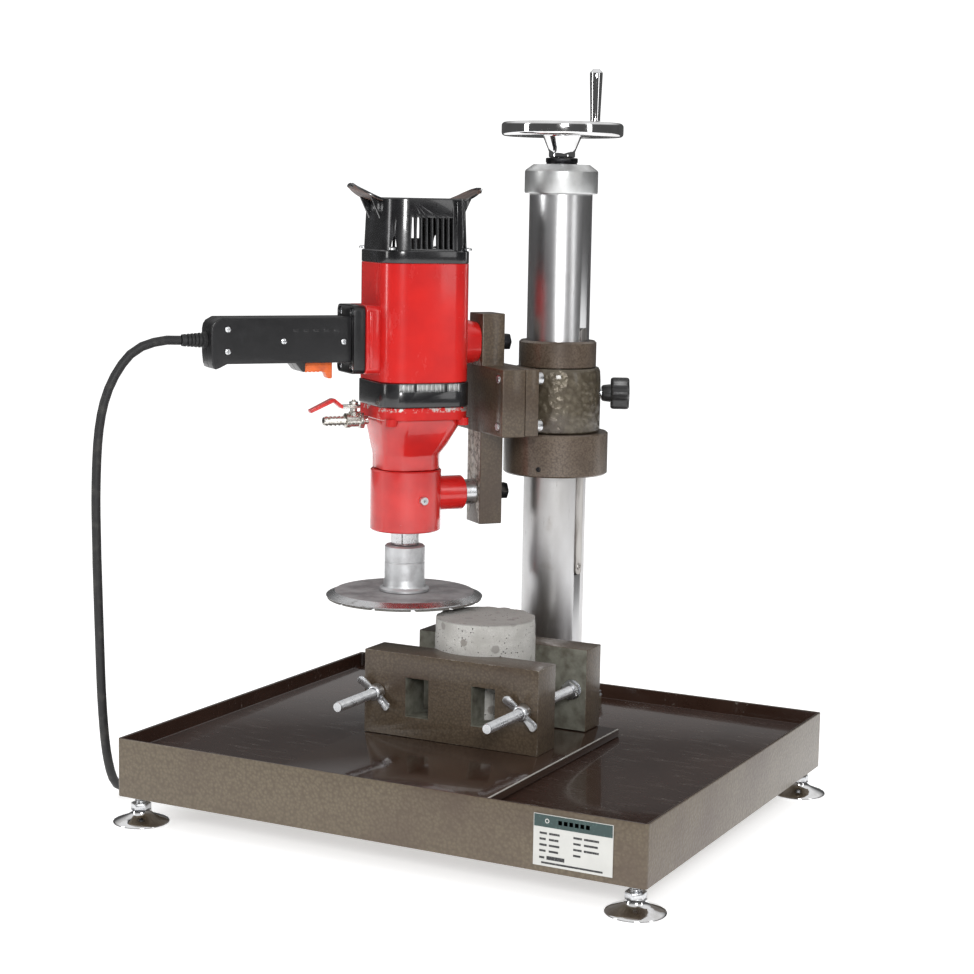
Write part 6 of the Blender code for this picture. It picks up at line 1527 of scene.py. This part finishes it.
spacer = lengthwise(spacer, LOWER_BOLT)
side_screw = socket_screw(0.0042, (GEAR_X - 0.0045, HOUSING_RADIUS - 0.0008, 0.301), (-0.13, 1.0, 0.0), 0.0052)
fit("collar_spacer_and_screw", on_arm(joined(spacer, side_screw)), zinc, "swing_head", "zinc_plate")

# ---- Spindle, adaptor and grinding disc ----
# The turned steel spindle has two spanner flats and a thread. A dull steel adaptor screws on,
# and holds a cast disc with twelve segments of abrasive on its underside.
turned_steel = Finish("turned_steel", (0.55, 0.55, 0.56), 0.22, metallic=1.0)
steel_rings = turned_steel.round_axis((0.0, 0.0), 160.0)
steel_dirt = turned_steel.noise(70.0, 6.0, roughness=0.7)
turned_steel.set(
    colour=turned_steel.mixed(steel_dirt.step(0.45, 0.75), (0.58, 0.58, 0.59), (0.26, 0.25, 0.24)),
    roughness=0.15 + 0.2 * steel_rings + 0.25 * steel_dirt.step(0.5, 0.8),
)
turned_steel.relief(steel_rings, 0.00008, 0.5)
spindle_centre = (GEAR_X, 0.0)
journal = turned([(0.0, 0.2518), (0.0137, 0.2518), (0.0145, 0.2526), (0.0145, 0.3047), (0.0137, 0.3055),
                  (0.01, 0.3055), (0.01, 0.3755), (0.0094, 0.376), (0.0, 0.376)], centre=spindle_centre, steps=72)
flats = [block((GEAR_X - 0.02, side * 0.0172 - 0.0052, 0.2535), (GEAR_X + 0.02, side * 0.0172 + 0.0052, 0.266))
         for side in (-1, 1)]
journal = soften(carved(journal, *flats), 0.0003, 1)
stub = threaded(0.0104, 0.2295, 0.2519, 0.002, 0.0008, 40)
shifted(stub, (GEAR_X, 0.0, 0.0))
fit("spindle_steel", on_arm(joined(journal, stub)), turned_steel, "spindle", "turned_steel", "spindle", smooth=34.0)

adaptor_steel = Finish("blasted_adaptor_steel", (0.42, 0.42, 0.43), 0.46, metallic=0.9)
adaptor_grain = adaptor_steel.noise(420.0, 4.0)
adaptor_cloud = adaptor_steel.noise(60.0, 5.0)
adaptor_steel.set(
    colour=adaptor_steel.mixed(adaptor_cloud.step(0.35, 0.75), (0.66, 0.67, 0.68), (0.46, 0.46, 0.47)),
    roughness=0.36 + 0.25 * adaptor_grain,
)
adaptor_steel.relief(adaptor_grain, 0.00025, 0.5)
adaptor_profile = [
    (0.0045, 0.2043), (0.025, 0.2043), (0.0255, 0.2048), (0.0255, 0.2068), (0.025, 0.2073),
    (0.0224, 0.2088), (0.0217, 0.2103), (0.0215, 0.2113), (0.0213, 0.2135), (0.0206, 0.2158), (0.0205, 0.217),
    (0.0205, 0.2335), (0.0201, 0.234), (0.0201, 0.2348), (0.0205, 0.2353), (0.0205, 0.25), (0.019, 0.2515),
    (0.0118, 0.2515),
    (0.0108, 0.2505), (0.0108, 0.229), (0.0045, 0.229),
]
adaptor = turned(adaptor_profile, centre=spindle_centre, steps=112, closed=True)
cross_hole = aimed(bar(0.0034, 0.0, 0.03, steps=24), (GEAR_X, 0.0, 0.2225), (0.25, -1.0, 0.0))
fit("disc_adaptor", on_arm(carved(adaptor, cross_hole)), adaptor_steel, "spindle", "turned_steel", "disc_hub")

DISC_RADIUS, DISC_TOP, DISC_FOOT, SEGMENT_FOOT = 0.08, 0.204, 0.1985, 0.1965
disc_paint = Finish("cast_disc_grey", (0.3, 0.29, 0.3), 0.42, metallic=0.35)
disc_lines = disc_paint.noise(320.0, 4.0)
disc_cloud = disc_paint.noise(48.0, 6.0, roughness=0.65)
disc_paint.set(
    colour=disc_paint.mixed(disc_cloud.step(0.35, 0.7), (0.36, 0.345, 0.35), (0.19, 0.175, 0.18)),
    roughness=0.32 + 0.25 * disc_lines,
)
disc_paint.relief(disc_lines + 0.6 * disc_cloud, 0.0003, 0.5)
grit = Finish("diamond_segment", (0.115, 0.11, 0.105), 0.75, metallic=0.3)
grit_grain = grit.cells(1600.0)
grit.set(colour=grit.mixed(grit_grain.step(0.2, 0.6), (0.09, 0.085, 0.08), (0.24, 0.23, 0.21)))
grit.relief(grit_grain, 0.0003)
disc_profile = [
    (0.0045, DISC_TOP), (0.07, DISC_TOP), (0.0712, DISC_TOP - 0.0002), (0.0772, DISC_TOP - 0.0036),
    (0.0795, DISC_TOP - 0.0042),
    (DISC_RADIUS, DISC_TOP - 0.0047), (DISC_RADIUS, DISC_FOOT + 0.0006), (0.0794, DISC_FOOT), (0.0045, DISC_FOOT),
]
disc = turned(disc_profile, centre=spindle_centre, steps=192, closed=True)
for face in disc.faces:
    reach = (face.calc_center_median().xy - Vector(spindle_centre)).length
    face.material_index = 1 if reach > 0.0714 and face.calc_center_median().z > DISC_FOOT + 0.0005 else 0
segments = []
for i in range(12):
    gap = math.asin(0.002 / 0.0695)
    start, span = math.radians(30 * (i - 0.5)) + gap, math.radians(30) - 2 * gap
    piece = bmesh.new()
    outline = [piece.verts.new(p) for p in ((0.06, 0.0, SEGMENT_FOOT), (0.079, 0.0, SEGMENT_FOOT),
                                            (0.079, 0.0, DISC_FOOT + 0.0003), (0.06, 0.0, DISC_FOOT + 0.0003))]
    piece.faces.new(outline)
    bmesh.ops.rotate(piece, verts=piece.verts, matrix=Matrix.Rotation(start, 3, "Z"))
    bmesh.ops.spin(piece, geom=piece.faces[:], axis=(0.0, 0.0, 1.0), cent=(0.0, 0.0, 0.0), angle=span, steps=14)
    bmesh.ops.recalc_face_normals(piece, faces=piece.faces)
    shifted(piece, (GEAR_X, 0.0, 0.0))
    segments.append(soften(piece, 0.0003, 1))
disc_shape = joined(disc, *segments, finish=[None, *[2] * 12])
fit("grinding_disc_cast", on_arm(disc_shape), [disc_paint, turned_steel, grit], "spindle", "disc_paint",
    "grinding_disc", smooth=30.0)

# ---- Grip ----
# A black moulded bar grip on a four-screw flange. Its two half shells meet on the
# centre line, where the parting shows, and white-headed screws close them from one side.
GRIP_FLANGE, GRIP_LOW, GRIP_HIGH, GRIP_WIDE, GRIP_AXIS = (0.2223, 0.2343), 0.4395, 0.4845, 0.017, 0.462
grip_black = Finish("grip_black_moulding", (0.013, 0.013, 0.014), 0.34, coat=0.1)
grip_cloud = grip_black.noise(45.0, 6.0)
grip_grain = grip_black.noise(1100.0, 3.0)
grip_wear = grip_black.noise(26.0, 7.0, roughness=0.7)
grip_black.set(
    colour=grip_black.mixed(grip_wear.step(0.52, 0.75) * 0.6, (0.007, 0.007, 0.008), (0.022, 0.022, 0.024)),
    roughness=0.2 + 0.16 * grip_cloud + 0.1 * grip_grain,
)
grip_black.relief(grip_grain + 0.4 * grip_cloud, 0.0002, 0.5)
plate_shape = block((GRIP_FLANGE[0], -0.025, 0.428), (GRIP_FLANGE[1], 0.025, 0.496))
rounded(plate_shape, 0.0065, 5, lambda e: runs(e, 0))
grip_screw_spots = [(sy * 0.017, GRIP_AXIS + sz * 0.027) for sy in (-1, 1) for sz in (-1, 1)]
sinks = [aimed(bar(0.005, 0.0, 0.02, steps=32), (GRIP_FLANGE[1] - 0.0032, y, z), (1.0, 0.0, 0.0)) for y,
         z in grip_screw_spots]
plate_shape = soften(carved(plate_shape, *sinks), 0.0007, 2)
fit("grip_flange_moulding", on_arm(plate_shape), grip_black, "swing_head", "black_plastic", "grip_flange")
flange_heads = [cross_screw(0.004, (GRIP_FLANGE[1] - 0.0032, y, z), (1.0, 0.0, 0.0), 0.0024) for y,
                z in grip_screw_spots]
fit("grip_flange_screws", on_arm(joined(*flange_heads)), zinc, "swing_head", "zinc_plate")

GRIP_OUTLINE = [
    (0.2346, GRIP_LOW), (0.2816, GRIP_LOW), (0.2816, GRIP_LOW - 0.008), (0.283, GRIP_LOW - 0.009),
    (0.2855, GRIP_LOW - 0.0076), (0.2916, GRIP_LOW), (0.361, GRIP_LOW), (0.368, GRIP_LOW - 0.0035),
    (0.372, GRIP_LOW - 0.005), (0.3745, GRIP_LOW - 0.004), (0.376, GRIP_LOW), (0.377, GRIP_LOW + 0.01),
    (0.377, GRIP_HIGH - 0.012), (0.376, GRIP_HIGH - 0.007), (0.3735, GRIP_HIGH - 0.0035), (0.367, GRIP_HIGH),
    (0.2346, GRIP_HIGH),
]
for side, label in ((1, "left"), (-1, "right")):
    shell = prism(GRIP_OUTLINE, 0.0, side * GRIP_WIDE)
    rounded(shell, 0.0062, 6, lambda e: all(abs(v.co.y) > 0.01 for v in e.verts)
            and not all(v.co.x < 0.235 for v in e.verts), clamp_overlap=True)
    rounded(shell, 0.0007, 1, lambda e: all(abs(v.co.y) < 1e-5 for v in e.verts)
            and not all(v.co.x < 0.235 for v in e.verts))
    tools = [block((0.2494, -0.0065, GRIP_LOW - 0.02), (0.2816, 0.0065, GRIP_LOW + 0.0125)),
             aimed(bar(0.0061, -0.01, 0.02, steps=32), (0.372, 0.0, GRIP_AXIS), (1.0, 0.0, 0.0))]
    shell = carved(shell, *tools)
    shifted(shell, (0.0, side * 0.00015, 0.0))
    parts = [shell]
    if side > 0:
        for i in range(5):
            x = 0.247 + 0.0105 * i
            parts.append(block((x, GRIP_WIDE - 0.0006, 0.47), (x + 0.0055, GRIP_WIDE + 0.0004, 0.4725), 0.0004))
    fit(f"grip_half_shell_{label}", on_arm(joined(*parts)), grip_black, "swing_head", "black_plastic",
        f"grip_shell_{label}", smooth=28.0)
shell_screws = []
for x, z in ((0.3605, 0.473), (0.3605, 0.4515), (0.304, 0.461), (0.242, 0.46)):
    shell_screws.append(cross_screw(0.003, (x, GRIP_WIDE + 0.0001, z), (0.0, 1.0, 0.0), 0.0012))
fit("grip_shell_screws", on_arm(joined(*shell_screws)), zinc, "swing_head", "zinc_plate")

# ---- Trigger and switch ----
# An orange moulded trigger slides up into the grip against its spring. The switch block behind
# it is a dark phenolic brick with brass terminals.
orange = clouded(
    "orange_moulding", (0.8, 0.135, 0.012), 0.34, coat=0.2, cloud=(90.0, 5.0), span=(0.4, 0.75),
    tones=((0.83, 0.145, 0.012), (0.58, 0.085, 0.012)), dull=(0.28, 0.2), relief=((700.0, 3.0), (0.00012, 0.5)))
trigger_line = [(0.25, -0.0165), (0.254, -0.0165), (0.2552, -0.015), (0.257, -0.0105), (0.261, -0.0095),
                (0.281, -0.0095),
                (0.281, 0.007), (0.25, 0.007)]
trigger = soften(prism([(x, GRIP_LOW + z) for x, z in trigger_line], -0.006, 0.012), 0.0011, 3)
ridges = [block((0.2635 + 0.0042 * i, -0.005, GRIP_LOW - 0.0101), (0.2649 + 0.0042 * i, 0.005, GRIP_LOW - 0.009),
                0.0003)
          for i in range(4)]
fit("trigger_orange", on_arm(joined(trigger, *ridges)), orange, "trigger", "orange_plastic", "trigger", smooth=35.0)

# ---- Cord boot ----
# The lead's strain relief: a tapered rubber sleeve, held in the grip's end. Rings are cut in
# it so that it can bend.
BOOT_START, BOOT_END = 0.377, 0.402
boot_line = [(0.0045, BOOT_START - 0.003), (0.0058, BOOT_START - 0.003), (0.0058, BOOT_START),
             (0.0078, BOOT_START + 0.0002),
             (0.008, BOOT_START + 0.0012), (0.0079, BOOT_START + 0.004)]
for i in range(5):
    x = BOOT_START + 0.0052 + 0.0036 * i
    radius = 0.0079 - 0.002 * (x - BOOT_START) / (BOOT_END - BOOT_START)
    boot_line += [(radius - 0.0014, x), (radius - 0.0014, x + 0.0009), (radius - 0.0002, x + 0.0012),
                  (radius - 0.0004, x + 0.003)]
boot_line += [(0.0057, BOOT_END - 0.0006), (0.005, BOOT_END), (0.0045, BOOT_END)]
boot = lengthwise(turned(boot_line, steps=48, closed=True), GRIP_AXIS)
fit("cord_boot_rubber", on_arm(boot), rubber, "swing_head", "cord_rubber", "cord_boot", smooth=34.0)

# ---- Water valve ----
# A small nickelled ball valve screwed into the gear case, for a cooling water hose, with a
# ringed hose tail. Its bent sheet lever has a red plastic sleeve and turns a quarter turn.
VALVE_Z, VALVE_X = 0.38, 0.225
nickel = clouded(
    "nickelled_brass", (0.62, 0.6, 0.55), 0.2, 1.0, cloud=(240.0, 5.0), span=(0.5, 0.75),
    tones=((0.66, 0.64, 0.6), (0.36, 0.32, 0.25)), dull=(0.13, 0.3), relief=(None, (0.0001, 0.5)))
sleeve_red = clouded(
    "lever_red_sleeve", (0.6, 0.016, 0.014), 0.3, coat=0.3, cloud=(200.0, 4.0), span=(0.4, 0.8),
    tones=((0.64, 0.018, 0.015), (0.42, 0.01, 0.01)), dull=(0.24, 0.2), relief=(None, (0.00012, 0.5)))
valve_line = [(0.0, 0.2102), (0.0045, 0.2102), (0.0045, 0.215), (0.006, 0.2155), (0.0075, 0.217), (0.0078, 0.2185),
              (0.0078, 0.22), (0.0066, 0.2206), (0.0066, 0.229), (0.0075, 0.2296), (0.0075, 0.2338), (0.0062, 0.2342),
              (0.0042, 0.2344)]
for i in range(5):
    x = 0.235 + 0.0044 * i
    valve_line += [(0.004, x), (0.0052, x + 0.0006), (0.0041, x + 0.004)]
valve_line += [(0.0038, 0.257), (0.0024, 0.2572), (0.0024, 0.248), (0.0, 0.248)]
body = lengthwise(turned(valve_line, steps=48), VALVE_Z)
nut = lengthwise(hexagon(0.0088, 0.215, 0.2195), VALVE_Z)
post = turned([(0.0, VALVE_Z), (0.005, VALVE_Z), (0.005, 0.3885), (0.0042, 0.389), (0.0035, 0.3895),
               (0.0035, 0.3922), (0.0, 0.3922)],
              centre=(VALVE_X, 0.0), steps=36)
fit("water_valve_body", on_arm(joined(body, nut, post)), nickel, "swing_head", "nickel_brass", "water_valve",
    smooth=34.0)
lever_line = [(-0.006, 0.3925), (0.014, 0.3925), (0.022, 0.399), (0.046, 0.3885), (0.047, 0.3915), (0.024, 0.4025),
              (0.021, 0.4025), (0.013, 0.396), (-0.006, 0.396)]
lever = prism([(VALVE_X + x, z) for x, z in lever_line], -0.0042, 0.0084)
SLEEVE_START = VALVE_X + 0.0125
bmesh.ops.bisect_plane(lever, geom=lever.verts[:] + lever.edges[:] + lever.faces[:],
                       plane_co=(SLEEVE_START, 0.0, 0.0), plane_no=(1.0, 0.0, 0.0))
soften(lever, 0.0007, 2)
for face in lever.faces:
    face.material_index = 0 if face.calc_center_median().x > SLEEVE_START else 1
lever_nut = hexagon(0.0046, 0.3961, 0.399)
lever_tip = threaded(0.0022, 0.398, 0.4008, 0.0008, 0.0003, 20)
for shape in (lever_nut, lever_tip):
    shifted(shape, (VALVE_X, 0.0, 0.0))
lever_shape = joined(lever, lever_nut, lever_tip, finish=[None, 1, 1])
fit("valve_lever_bent", on_arm(lever_shape), [sleeve_red, nickel], "valve_lever", "red_lever_grip", "valve_lever",
    smooth=36.0)

# ---- Parts inside the motor and the gear case ----
# The fan, armature, windings, gears and switch are out of sight unless the covers come off.
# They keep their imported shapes, with their own metals, plastic and copper.
gear_steel = clouded(
    "hardened_gear_steel", (0.36, 0.36, 0.38), 0.3, 1.0, cloud=(90.0, 5.0),
    tones=((0.42, 0.42, 0.44), (0.2, 0.19, 0.18)), dull=(0.2, 0.25))
fan_plastic = clouded(
    "fan_moulding", (0.1, 0.1, 0.11), 0.45, cloud=(120.0, 4.0),
    tones=((0.12, 0.12, 0.13), (0.06, 0.06, 0.065)), dull=(0.36, 0.2))
for node, finish in (("armature", dark_iron), ("cooling_fan", fan_plastic), ("stator", copper),
                     ("lay_shaft_gears", gear_steel), ("spindle_gear", gear_steel), ("switch_block", plastic_black)):
    coloured(node, finish)

low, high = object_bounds()
